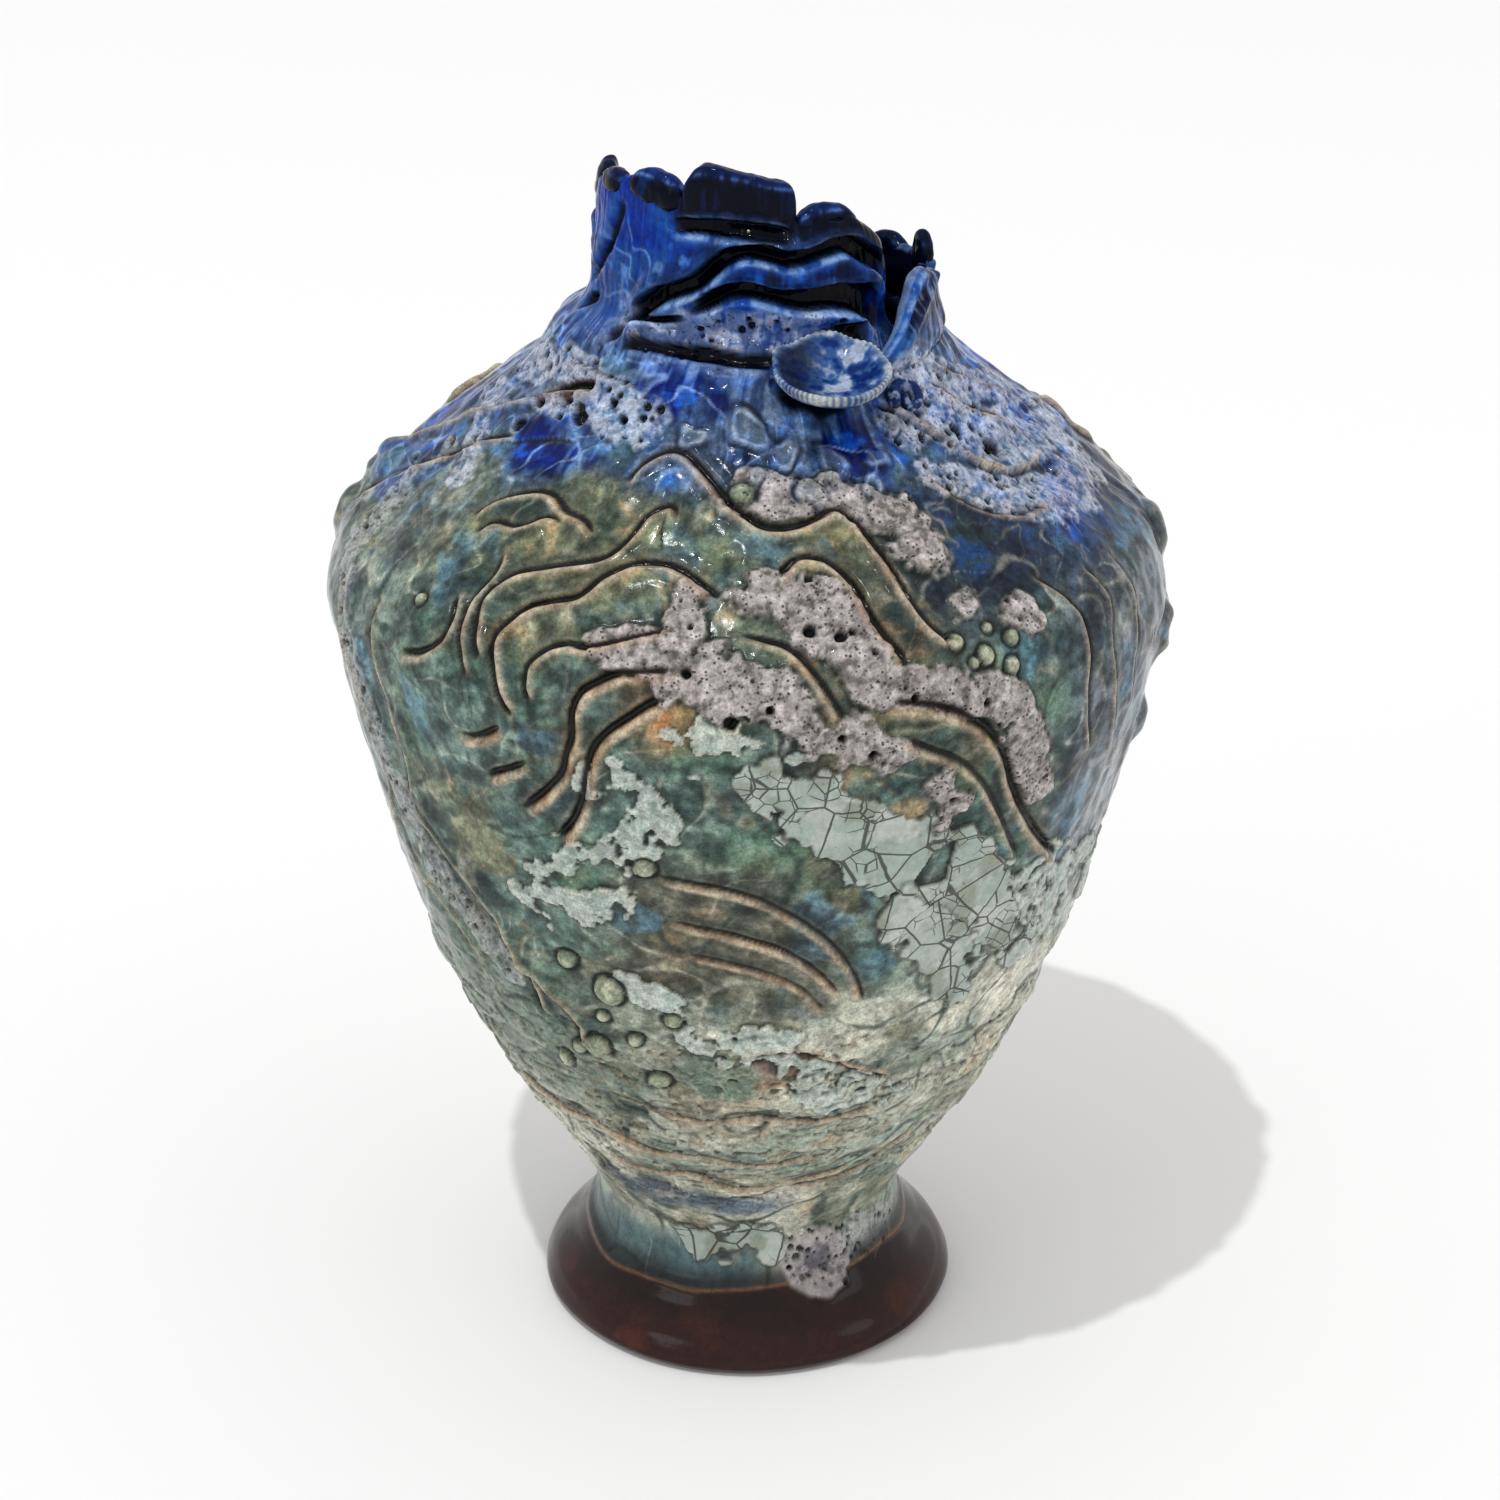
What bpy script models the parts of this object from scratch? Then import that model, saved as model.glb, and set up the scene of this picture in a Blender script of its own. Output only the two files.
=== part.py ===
"""Stoneware vase with a wrapped, torn neck: every clay piece is its own closed body.

Sizes are millimetres in the constants and metres in the meshes. +Z is up, -Y is the front, and
azimuth is measured in degrees from the front, positive towards +X.
"""

import math

import bmesh
import bpy
from mathutils import Matrix, Vector

MM = 0.001

# ---- driving sizes -------------------------------------------------------------------------
GAP = 0.3                     # clearance between neighbouring pieces
STAND_OFF = GAP + 0.1         # clearance of a piece that rests on the curved wall
TURN_STEPS = 56               # facets round a thrown section
FOOT_TOP = 37.0               # seam between the foot and the lower wall
LOWER_TOP = 140.0             # seam between the lower wall and the belly wall
BELLY_TOP = 226.0             # seam between the belly wall and the shoulder wall
SHOULDER_TOP = 296.0          # seam between the shoulder wall and the neck
WALL = 7.0                    # wall thickness of the thrown sections
LAP = 3.0                     # height of the lap joint between two thrown sections
SPIGOT_RADIUS = 35.0          # disc on the foot that locates the lower wall
SPIGOT_RISE = 4.0
RECESS_RADIUS = 47.0          # turned hollow under the foot
RECESS_DEPTH = 7.0

NECK_CENTRE_X = 4.0
NECK_HALF_WIDTH = 45.5
NECK_FRONT = 38.0             # outer face of the neck in front of the axis
NECK_BACK = 31.0              # outer face of the neck behind the axis
NECK_WALL = 4.0
NECK_BASE = SHOULDER_TOP + GAP
NECK_BASE_RADIUS = 51.0       # the sheets stand on a round shoulder
NECK_BLEND = 14.0             # height over which the round base turns into the oval
LEAN_START = 318.0            # above this height the neck leans in
LEAN = 0.10 / 30.0            # share of the width lost per millimetre

# outer radius of the thrown body at each height
PROFILE = (
    (0, 57.5), (3, 60), (8, 58.2), (17, 50.5), (27, 44.8), (37, 44.2), (46, 48.5), (60, 56.5),
    (80, 69.5), (105, 82), (125, 90.5), (140, 95), (165, 102), (195, 109.3), (215, 112.8),
    (230, 114.5), (241, 110.3), (251, 101.5), (261, 90.5), (270, 78.5), (280, 66.5), (288, 57.5),
    (296, 52), (306, 47.5),
)


def outer_radius(z):
    """Outer radius of the thrown body at height z."""
    for (z0, r0), (z1, r1) in zip(PROFILE, PROFILE[1:]):
        if z <= z1:
            return r0 + (r1 - r0) * max(z - z0, 0.0) / (z1 - z0)
    return PROFILE[-1][1]


def outer_slope(z):
    """Change of outer radius per millimetre of height."""
    return (outer_radius(z + 2.0) - outer_radius(z - 2.0)) / 4.0


def polar(azimuth, radius, z):
    """Point in millimetres from azimuth, radius and height."""
    a = math.radians(azimuth)
    return Vector((radius * math.sin(a), -radius * math.cos(a), z))


def outward(azimuth, z):
    """Unit normal of the body's outer wall."""
    a = math.radians(azimuth)
    return Vector((math.sin(a), -math.cos(a), -outer_slope(z))).normalized()


def on_wall(azimuth, z, proud):
    """Point standing proud of the body's outer wall."""
    return polar(azimuth, outer_radius(z), z) + outward(azimuth, z) * proud


# ---- scene helpers -------------------------------------------------------------------------
for old in list(bpy.data.objects):
    bpy.data.objects.remove(old, do_unlink=True)

PARTS = bpy.data.collections.new("stoneware_vase")
CUTTERS = bpy.data.collections.new("cutters")
bpy.context.scene.collection.children.link(PARTS)
bpy.context.scene.collection.children.link(CUTTERS)

COLOURS = {
    "brown_foot": (0.10, 0.03, 0.02),
    "sage_glaze": (0.42, 0.50, 0.42),
    "teal_glaze": (0.20, 0.32, 0.28),
    "blue_glaze": (0.07, 0.15, 0.34),
    "cobalt_glaze": (0.01, 0.05, 0.35),
    "ochre_edge": (0.45, 0.24, 0.12),
    "pellet_glaze": (0.50, 0.50, 0.38),
}


def material_for(name, colour):
    mat = bpy.data.materials.new(name)
    mat.use_nodes = True
    shader = mat.node_tree.nodes["Principled BSDF"]
    shader.inputs["Base Color"].default_value = (*colour, 1.0)
    shader.inputs["Roughness"].default_value = 0.3
    return mat


def finish_object(name, mesh, colour):
    """Link a mesh as a named part with a material of its own."""
    obj = bpy.data.objects.new(name, mesh)
    mesh.materials.clear()
    mesh.materials.append(material_for(name + "_glaze", COLOURS[colour]))
    mesh.shade_smooth()
    PARTS.objects.link(obj)
    return obj


def mesh_from(name, points, faces):
    """Closed mesh from points in millimetres, with normals facing out."""
    mesh = bpy.data.meshes.new(name)
    mesh.from_pydata([tuple(p * MM) for p in points], [], faces)
    shape = bmesh.new()
    shape.from_mesh(mesh)
    bmesh.ops.recalc_face_normals(shape, faces=shape.faces)
    if shape.calc_volume(signed=True) < 0:
        bmesh.ops.reverse_faces(shape, faces=shape.faces)
    shape.to_mesh(mesh)
    shape.free()
    return mesh


def loft(name, loops, colour, closed=False):
    """Body lofted through equal closed loops; open ends are capped."""
    count = len(loops[0])
    points = [p for loop in loops for p in loop]
    spans = len(loops) if closed else len(loops) - 1
    faces = []
    for i in range(spans):
        j = (i + 1) % len(loops)
        for k in range(count):
            m = (k + 1) % count
            faces.append((i * count + k, i * count + m, j * count + m, j * count + k))
    if not closed:
        faces.append(tuple(range(count)))
        faces.append(tuple((len(loops) - 1) * count + k for k in range(count)))
    return finish_object(name, mesh_from(name, points, faces), colour)


def turned(name, profile, colour, ring, steps=TURN_STEPS):
    """Thrown piece: a profile revolved about +Z with the Screw modifier."""
    mesh = bpy.data.meshes.new(name)
    points = [(r * MM, 0.0, z * MM) for r, z in profile]
    edges = [(i, i + 1) for i in range(len(points) - 1)]
    if ring:
        edges.append((len(points) - 1, 0))
    mesh.from_pydata(points, edges, [])
    obj = finish_object(name, mesh, colour)
    screw = obj.modifiers.new("throw", "SCREW")
    screw.axis = "Z"
    screw.steps = steps
    screw.render_steps = steps
    screw.use_merge_vertices = True
    screw.merge_threshold = 0.00001
    screw.use_smooth_shade = True
    return obj


def coil(name, path, radius, colour, resolution=1):
    """Rolled clay coil along a path in millimetres, with capped ends."""
    data = bpy.data.curves.new(name, "CURVE")
    data.dimensions = "3D"
    data.bevel_depth = radius * MM
    data.bevel_resolution = resolution
    data.use_fill_caps = True
    spline = data.splines.new("POLY")
    spline.points.add(len(path) - 1)
    for point, position in zip(spline.points, path):
        point.co = (*(position * MM), 1.0)
    rough = bpy.data.objects.new(name + "_path", data)
    CUTTERS.objects.link(rough)
    bpy.context.view_layer.update()
    mesh = bpy.data.meshes.new_from_object(rough)
    bpy.data.objects.remove(rough, do_unlink=True)
    shape = bmesh.new()
    shape.from_mesh(mesh)
    bmesh.ops.remove_doubles(shape, verts=shape.verts, dist=0.00001)
    bmesh.ops.recalc_face_normals(shape, faces=shape.faces)
    shape.to_mesh(mesh)
    shape.free()
    return finish_object(name, mesh, colour)


def resampled(stations, step):
    """Even stations along a list of (azimuth, height) on the wall."""
    out = []
    for (a0, z0), (a1, z1) in zip(stations, stations[1:]):
        length = (on_wall(a1, z1, 0.0) - on_wall(a0, z0, 0.0)).length
        parts = max(1, round(length / step))
        for k in range(parts):
            t = k / parts
            out.append((a0 + (a1 - a0) * t, z0 + (z1 - z0) * t))
    out.append(stations[-1])
    return out


def wall_coil(name, stations, radius, colour):
    """Coil luted to the wall along (azimuth, height) stations."""
    proud = radius + STAND_OFF
    path = [on_wall(a, z, proud) for a, z in resampled(stations, 5.0)]
    return coil(name, path, radius, colour, 0)


def frame_at(azimuth, z, proud):
    """Matrix in metres whose local +Z is the wall's outward normal."""
    normal = outward(azimuth, z)
    turn = Vector((0, 0, 1)).rotation_difference(normal).to_matrix().to_4x4()
    return Matrix.Translation(on_wall(azimuth, z, proud) * MM) @ turn


def add_ball(name, azimuth, z, size, colour):
    """Pressed clay pellet: a squashed sphere of (width, width, height)."""
    mesh = bpy.data.meshes.new(name)
    shape = bmesh.new()
    bmesh.ops.create_uvsphere(shape, u_segments=12, v_segments=7, radius=0.5 * MM)
    bmesh.ops.scale(shape, vec=Vector(size), verts=shape.verts)
    shape.to_mesh(mesh)
    shape.free()
    obj = finish_object(name, mesh, colour)
    obj.matrix_world = frame_at(azimuth, z, size[2] / 2 + STAND_OFF)
    return obj


def add_ring(name, place, major, minor, colour):
    """Small clay ring: a torus lying across the local +Z axis of its place."""
    bpy.ops.mesh.primitive_torus_add(
        major_radius=major * MM, minor_radius=minor * MM, major_segments=14, minor_segments=6,
    )
    raw = bpy.context.object
    obj = finish_object(name, raw.data.copy(), colour)
    bpy.data.objects.remove(raw, do_unlink=True)
    obj.matrix_world = place
    return obj


# ---- thrown sections -----------------------------------------------------------------------
def profile_between(low, high):
    """(radius, height) of the outer wall from high down to low."""
    inner = [z for z, _ in PROFILE if low + 1.0 < z < high - 1.0]
    return [(outer_radius(z), z) for z in [high] + inner[::-1] + [low]]


def thrown_wall(name, low, high, bottom, top, colour):
    """Wall section with a lap joint: bottom and top say which edges carry one."""
    outside = profile_between(low, high)
    inside = [(r - WALL, z) for r, z in outside][::-1]
    profile = []
    middle = outer_radius(high) - WALL / 2
    if top == "tongue":
        profile += [(inside[-1][0], high + LAP), (middle, high + LAP), (middle, high)]
        inside = inside[:-1]
    profile += outside
    if bottom == "groove":
        middle = outer_radius(low) - WALL / 2 + GAP
        profile += [(middle, low), (middle, low + LAP)]
        inside = [(inside[0][0], low + LAP)] + inside[1:]
    elif bottom == "spigot":
        inside = [(SPIGOT_RADIUS + GAP, low)] + inside[1:]
    return turned(name, profile + inside, colour, ring=True)


foot = [(0, FOOT_TOP + SPIGOT_RISE), (SPIGOT_RADIUS, FOOT_TOP + SPIGOT_RISE), (SPIGOT_RADIUS, FOOT_TOP)]
foot += profile_between(0.0, FOOT_TOP)
foot += [(RECESS_RADIUS, 0), (RECESS_RADIUS - 3, RECESS_DEPTH), (0, RECESS_DEPTH)]
turned("pedestal_foot", foot, "brown_foot", ring=False)

thrown_wall("lower_wall", FOOT_TOP + GAP, LOWER_TOP, "spigot", "tongue", "sage_glaze")
thrown_wall("belly_wall", LOWER_TOP + GAP, BELLY_TOP, "groove", "tongue", "teal_glaze")
thrown_wall("shoulder_wall", BELLY_TOP + GAP, SHOULDER_TOP, "groove", "plain", "blue_glaze")


# ---- wrapped neck --------------------------------------------------------------------------
# height of the torn rim round the wrapped sheet, from its tucked end to its outer end
RIM = (
    (64, 313), (56, 320), (46, 327), (36, 333), (24, 335), (12, 336), (8, 340), (-24, 341), (-30, 339),
    (-44, 341), (-60, 341), (-75, 338), (-90, 334), (-105, 329), (-125, 320), (-150, 314),
    (-180, 311), (-210, 309), (-235, 308), (-255, 310), (-268, 312),
)
# how far the sheet's outer face is from the neck oval, in millimetres inwards
TUCK = ((64, 13.0), (50, 8.5), (36, 4.0), (20, 1.0), (0, 0.0), (-268, 0.0))


def read_table(table, azimuth):
    """Linear reading of a table of falling azimuths."""
    for (a0, v0), (a1, v1) in zip(table, table[1:]):
        if azimuth >= a1:
            return v0 + (v1 - v0) * (a0 - azimuth) / (a0 - a1)
    return table[-1][1]


def neck_point(azimuth, z, inset):
    """Point on the neck's outer oval, blending to the round shoulder at the base."""
    a = math.radians(azimuth)
    depth = NECK_FRONT if math.cos(a) > 0 else NECK_BACK
    lean = 1.0 - LEAN * max(z - LEAN_START, 0.0)
    oval = Vector((
        NECK_CENTRE_X + (NECK_HALF_WIDTH * lean - inset) * math.sin(a),
        -(depth * lean - inset) * math.cos(a),
        z,
    ))
    base = polar(azimuth, NECK_BASE_RADIUS - inset, z)
    blend = min(max((z - NECK_BASE) / NECK_BLEND, 0.0), 1.0)
    blend = blend * blend * (3 - 2 * blend)
    return base.lerp(oval, blend)


def sheet_loop(azimuth, low, high, inset, thickness):
    """Closed section of an upright clay sheet at one azimuth, finer over the flared base."""
    heights = [low + (high - low) * t for t in (0.0, 0.08, 0.16, 0.24, 0.34, 0.5, 0.75, 1.0)]
    outside = [neck_point(azimuth, z, inset) for z in heights]
    inside = [neck_point(azimuth, z, inset + thickness) for z in reversed(heights)]
    return outside + inside


wrap_azimuths = [64 - 332 * k / 44 for k in range(45)]
wrap = [
    sheet_loop(a, NECK_BASE, read_table(RIM, a), read_table(TUCK, a), NECK_WALL)
    for a in wrap_azimuths
]
loft("neck_wrap", wrap, "cobalt_glaze")

# flap: the sheet's overlapping end, standing outside the wrap and covering its seam
FLAP_TOP = ((108, 308), (92, 314), (76, 317), (62, 319.5), (55, 317), (48, 313), (42, 309))
FLAP_THICKNESS = NECK_WALL - 0.4
FLAP_INSET = -(FLAP_THICKNESS + 2 * GAP + 0.4)
flap_azimuths = [108 - 66 * k / 12 for k in range(13)]
flap = [
    sheet_loop(a, NECK_BASE + 0.4, read_table(FLAP_TOP, a), FLAP_INSET, FLAP_THICKNESS)
    for a in flap_azimuths
]
loft("overlap_flap", flap, "blue_glaze")


def ledge(name, stations, reach, thick, colour):
    """Wavy ledge luted round the front of the neck along (azimuth, height) stations."""
    loops = []
    steps = 18
    start, end = stations[0][0], stations[-1][0]
    for k in range(steps + 1):
        t = k / steps
        azimuth = start + (end - start) * t
        z = read_table(stations, azimuth)
        tuck = read_table(TUCK, azimuth) - GAP - 0.5
        taper = 0.45 + 0.55 * math.sin(math.pi * t) ** 0.5
        out = tuck - reach * taper
        loops.append([
            neck_point(azimuth, z - thick, tuck),
            neck_point(azimuth, z - thick * 0.7, out),
            neck_point(azimuth, z, out + 0.8),
            neck_point(azimuth, z + thick * 0.8, tuck),
        ])
    return loft(name, loops, colour)


LEDGES = (
    ("neck_ledge_1", 4.4, "cobalt_glaze", (
        (46, 321), (38, 327), (28, 330.5), (15, 329.5), (5, 330), (-5, 331), (-14, 328), (-24, 321),
        (-36, 316), (-46, 311),
    )),
    ("neck_ledge_2", 4.4, "cobalt_glaze", (
        (42, 315), (30, 319), (18, 319.5), (6, 319.5), (-3, 321.5), (-12, 320.5), (-23, 315),
    )),
    ("neck_ledge_3", 3.4, "blue_glaze", (
        (34, 311), (26, 313.5), (16, 312.5), (8, 313), (-3, 316), (-12, 316), (-16, 314.5),
    )),
    ("neck_ledge_4", 3.0, "blue_glaze", (
        (4, 303), (-4, 303.5), (-16, 304.5), (-30, 304), (-42, 301.5),
    )),
    ("neck_ledge_5", 2.6, "blue_glaze", ((-27, 311.5), (-36, 310), (-46, 306.5))),
)
LEDGE_THICKNESS = 2.0
for ledge_name, reach, glaze, stations in LEDGES:
    ledge(ledge_name, stations, reach, LEDGE_THICKNESS, glaze)


def rim_lobe(name, start, end, tall, thick, colour):
    """Rolled lump of clay standing on the torn rim."""
    loops = []
    steps = 7
    for k in range(steps + 1):
        t = k / steps
        azimuth = start + (end - start) * t
        inset = read_table(TUCK, azimuth) + NECK_WALL / 2
        z = max(read_table(RIM, start), read_table(RIM, end), read_table(RIM, azimuth)) + GAP
        swell = 0.55 + 0.45 * math.sin(math.pi * t)
        half = thick / 2
        loops.append([
            neck_point(azimuth, z, inset - half),
            neck_point(azimuth, z + tall * 0.6 * swell, inset - half),
            neck_point(azimuth, z + tall * swell, inset - half * 0.3),
            neck_point(azimuth, z + tall * swell, inset + half * 0.5),
            neck_point(azimuth, z + tall * 0.5 * swell, inset + half),
            neck_point(azimuth, z, inset + half),
        ])
    return loft(name, loops, colour)


# rolled lumps on the rim: start and end azimuth, height, thickness
RIM_LUMPS = (
    ("rim_slab", -25, 11, 9.0, 8.0),
    ("rim_lobe_left", -52, -33, 6.0, 7.0),
    ("rim_lobe_right", 16, 34, 4.0, 6.0),
    ("rim_horn_left", -100, -84, 7.0, 7.0),
    ("rim_horn_side", -78, -62, 3.5, 6.0),
    ("rim_horn_right_1", -236, -226, 8.0, 4.6),
    ("rim_horn_right_2", -266, -256, 9.0, 4.6),
)
for lump_name, start, end, tall, thick in RIM_LUMPS:
    rim_lobe(lump_name, start, end, tall, thick, "cobalt_glaze")

# ---- shell shelf and curl in front of the neck ---------------------------------------------
SHELL_AT = Vector((21.0, -51.0, 302.0))
SHELL_RADIUS = 14.5
SHELL_TILT = 14.0
SHELL_STEPS = 28
# section of the dish from the middle of its hollow over the lip to the middle of its underside
SHELL_SECTION = ((0, 0.2), (0.55, 0.5), (0.80, 1.2), (0.94, 1.9), (1.0, 0.2), (0.75, -1.6), (0, -1.8))

shell_profile = [(SHELL_RADIUS * share, lift) for share, lift in SHELL_SECTION]
shell = turned("shell_shelf", shell_profile, "blue_glaze", ring=False, steps=SHELL_STEPS)
shell.location = SHELL_AT * MM
shell.rotation_euler = (math.radians(SHELL_TILT), 0.0, 0.0)

cutter_points = []
cutter_faces = []
CUTTER_LEVELS = 16
CUTTER_TURN = 48
CUTTER_DROP = 6.0
CUTTER_RISE = 1.8
CUTTER_CLEARANCE = 1.0
for i in range(CUTTER_LEVELS):
    z = NECK_BASE - CUTTER_DROP + CUTTER_RISE * i
    turn = [360.0 * k / CUTTER_TURN for k in range(CUTTER_TURN)]
    cutter_points += [neck_point(a, z, -CUTTER_CLEARANCE) for a in turn]
for i in range(CUTTER_LEVELS - 1):
    for k in range(CUTTER_TURN):
        here = i * CUTTER_TURN + k
        there = i * CUTTER_TURN + (k + 1) % CUTTER_TURN
        cutter_faces.append((here, there, there + CUTTER_TURN, here + CUTTER_TURN))
cutter_faces.append(tuple(range(CUTTER_TURN)))
cutter_faces.append(tuple((CUTTER_LEVELS - 1) * CUTTER_TURN + k for k in range(CUTTER_TURN)))
cutter_mesh = mesh_from("neck_clearance", cutter_points, cutter_faces)
cutter = bpy.data.objects.new("neck_clearance", cutter_mesh)
cutter.hide_render = True
cutter.display_type = "WIRE"
CUTTERS.objects.link(cutter)
trim = shell.modifiers.new("trim_to_neck", "BOOLEAN")
trim.operation = "DIFFERENCE"
trim.solver = "EXACT"
trim.object = cutter

add_ring("snail_curl", frame_at(48, 286, 2.6), 4.0, 1.8, "cobalt_glaze")

# ---- pressed rings, pellets and side loops -------------------------------------------------
RING_SECTION = 1.3
RINGS = (
    (-3, 290, 5.0), (8, 285, 4.0), (19, 283, 4.4), (31, 284, 3.8), (13, 278, 3.6), (27, 277, 4.0),
)
for index, (azimuth, z, radius) in enumerate(RINGS, start=1):
    place = frame_at(azimuth, z, RING_SECTION + STAND_OFF + 0.1)
    add_ring(f"ring_button_{index}", place, radius, RING_SECTION, "blue_glaze")

PELLET_RISE = 0.45            # height of a pellet as a share of its width
PELLETS = (
    (29, 246, 4.5), (33, 242, 5.0), (37, 238, 4.5), (37, 243, 4.0), (-29, 151, 6.0),
    (-22, 144, 8.0), (-26, 123, 7.0), (-35, 112, 5.0), (-16, 112, 6.5), (-12, 136, 5.0),
)
for index, (azimuth, z, width) in enumerate(PELLETS, start=1):
    add_ball(f"pellet_{index}", azimuth, z, (width, width, width * PELLET_RISE), "pellet_glaze")

add_ball("side_lump_left", -97, 238, (24.0, 14.0, 5.0), "blue_glaze")
add_ball("side_lump_right", 94, 236, (24.0, 14.0, 4.6), "teal_glaze")
add_ring("side_loop_right", frame_at(82, 213, 2.9), 6.0, 2.2, "teal_glaze")
add_ball("side_lump_low", 80, 190, (16.0, 10.0, 3.6), "teal_glaze")

# ---- wavy coils luted over the shoulder and belly ------------------------------------------
# name, coil radius, glaze, (azimuth, height) stations
COILS = (
    ("crest", 1.5, "ochre_edge", (
        (-23, 280), (-15, 282), (-8, 280), (0, 273), (9, 271), (17, 273), (22, 269), (25, 257), (27, 248),
    )),
    ("left_high", 1.3, "ochre_edge", ((-53, 265), (-46, 271), (-36, 270), (-27, 267))),
    ("left_mid", 1.3, "teal_glaze", ((-39, 243), (-41, 251), (-37, 258), (-28, 262), (-20, 269))),
    ("left_low", 1.4, "teal_glaze", (
        (-32, 230), (-35, 241), (-36, 247), (-32, 253), (-26, 256), (-21, 260), (-14, 264), (-6, 261),
    )),
    ("centre", 1.2, "teal_glaze", ((-30, 234), (-30, 241), (-27, 246), (-22, 247), (-11, 253))),
    ("fall", 1.4, "ochre_edge", ((-20, 240), (-23, 234), (-24, 226), (-26, 212), (-31, 199))),
    ("inner_fall", 1.3, "teal_glaze", ((-11, 238), (-16, 232), (-19, 225), (-22, 213), (-25, 196))),
    ("right_high", 1.5, "ochre_edge", ((9, 264), (14, 263), (17, 258), (19, 252), (20, 246))),
    ("right_mid", 1.3, "teal_glaze", ((0, 251), (5, 249), (9, 243), (12, 234))),
    ("right_low", 1.4, "teal_glaze", (
        (19, 236), (24, 233), (29, 229), (34, 221), (38, 207), (44, 190), (53, 170),
    )),
    ("shoulder_left", 1.6, "ochre_edge", ((-91, 255), (-88, 266), (-78, 276), (-64, 283), (-50, 287))),
    ("side_right", 1.3, "teal_glaze", ((57, 250), (60, 244), (59, 234), (60, 214))),
)
for coil_name, radius, glaze, stations in COILS:
    wall_coil("wave_coil_" + coil_name, stations, radius, glaze)
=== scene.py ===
"""Looks of the stoneware vase: glazed skins over the packed clay pieces, floor, light and camera.

Lengths in the tables are millimetres. Azimuth is in degrees from the front (-Y), positive to +X.
"""

import math

import bmesh
import bpy
import numpy as np
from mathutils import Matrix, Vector


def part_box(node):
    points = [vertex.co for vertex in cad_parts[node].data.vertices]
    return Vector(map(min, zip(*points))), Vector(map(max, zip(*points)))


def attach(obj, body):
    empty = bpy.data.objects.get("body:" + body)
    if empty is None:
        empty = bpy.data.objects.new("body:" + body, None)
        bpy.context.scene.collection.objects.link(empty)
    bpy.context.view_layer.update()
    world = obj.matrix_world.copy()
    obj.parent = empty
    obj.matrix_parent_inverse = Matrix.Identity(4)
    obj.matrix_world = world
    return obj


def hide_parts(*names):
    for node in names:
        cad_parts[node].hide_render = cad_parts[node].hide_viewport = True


MM = 0.001
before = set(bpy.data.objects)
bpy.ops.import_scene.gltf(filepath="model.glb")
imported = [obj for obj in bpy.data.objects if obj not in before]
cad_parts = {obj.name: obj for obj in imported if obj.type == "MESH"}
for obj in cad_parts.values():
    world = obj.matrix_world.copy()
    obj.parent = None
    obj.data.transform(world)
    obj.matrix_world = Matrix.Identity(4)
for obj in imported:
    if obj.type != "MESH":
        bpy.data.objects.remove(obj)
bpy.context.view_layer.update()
SPACING = 0.56       # vertex spacing on the front of the pot
FRONT_SPAN = 200.0                     # degrees of the pot that have the finer columns
BACK_RATIO = 1.7                       # how much coarser the back is


# ---- numeric helpers -----------------------------------------------------------------------
def smoothstep(x, low, high):
    """0 at low, 1 at high and eased between; low may be the larger."""
    t = np.clip((x - low) / (high - low), 0.0, 1.0)
    return t * t * (3.0 - 2.0 * t)


def hash01(i, j, k, seed):
    """Repeatable value in 0..1 for every integer lattice point."""
    h = (i * 374761393 + j * 668265263 + k * 1442695041 + seed * 974711) & 0xFFFFFFFF
    h = ((h ^ (h >> 13)) * 1274126177) & 0xFFFFFFFF
    h = ((h ^ (h >> 16)) * 2246822519) & 0xFFFFFFFF
    return ((h ^ (h >> 15)) & 0xFFFFFF) / 16777215.0


def noise3(p, size, seed=0):
    """Smooth value noise in -1..1 with features of the given size."""
    q = p / size
    cell = np.floor(q).astype(np.int64)
    f = q - cell
    f = f * f * f * (f * (f * 6 - 15) + 10)
    total = 0.0
    for dx in (0, 1):
        wx = f[:, 0] if dx else 1 - f[:, 0]
        for dy in (0, 1):
            wy = f[:, 1] if dy else 1 - f[:, 1]
            for dz in (0, 1):
                wz = f[:, 2] if dz else 1 - f[:, 2]
                total = total + wx * wy * wz * hash01(
                    cell[:, 0] + dx, cell[:, 1] + dy, cell[:, 2] + dz, seed)
    return total * 2.0 - 1.0


def fbm(p, size, octaves, seed=0):
    """Sum of noises, each half as large and half as strong as the one before."""
    total = 0.0
    weight = 1.0
    for n in range(octaves):
        total = total + weight * noise3(p, size / 2 ** n, seed + n * 17)
        weight *= 0.5
    return total / 1.6


def cells(p, size, seed=0, jitter=0.9):
    """Distance (mm) to the nearest scattered point, and a random value for that point."""
    q = p / size
    cell = np.floor(q).astype(np.int64)
    nearest = np.full(len(p), 9.0)
    ident = np.zeros(len(p))
    for dx in (-1, 0, 1):
        for dy in (-1, 0, 1):
            for dz in (-1, 0, 1):
                c = cell + np.array((dx, dy, dz))
                spot = np.stack([
                    c[:, n] + 0.5 + jitter * (hash01(c[:, 0], c[:, 1], c[:, 2], seed + n) - 0.5)
                    for n in range(3)], 1)
                d = np.linalg.norm(spot - q, axis=1)
                closer = d < nearest
                ident = np.where(closer, hash01(c[:, 0], c[:, 1], c[:, 2], seed + 7), ident)
                nearest = np.where(closer, d, nearest)
    return nearest * size, ident


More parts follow.
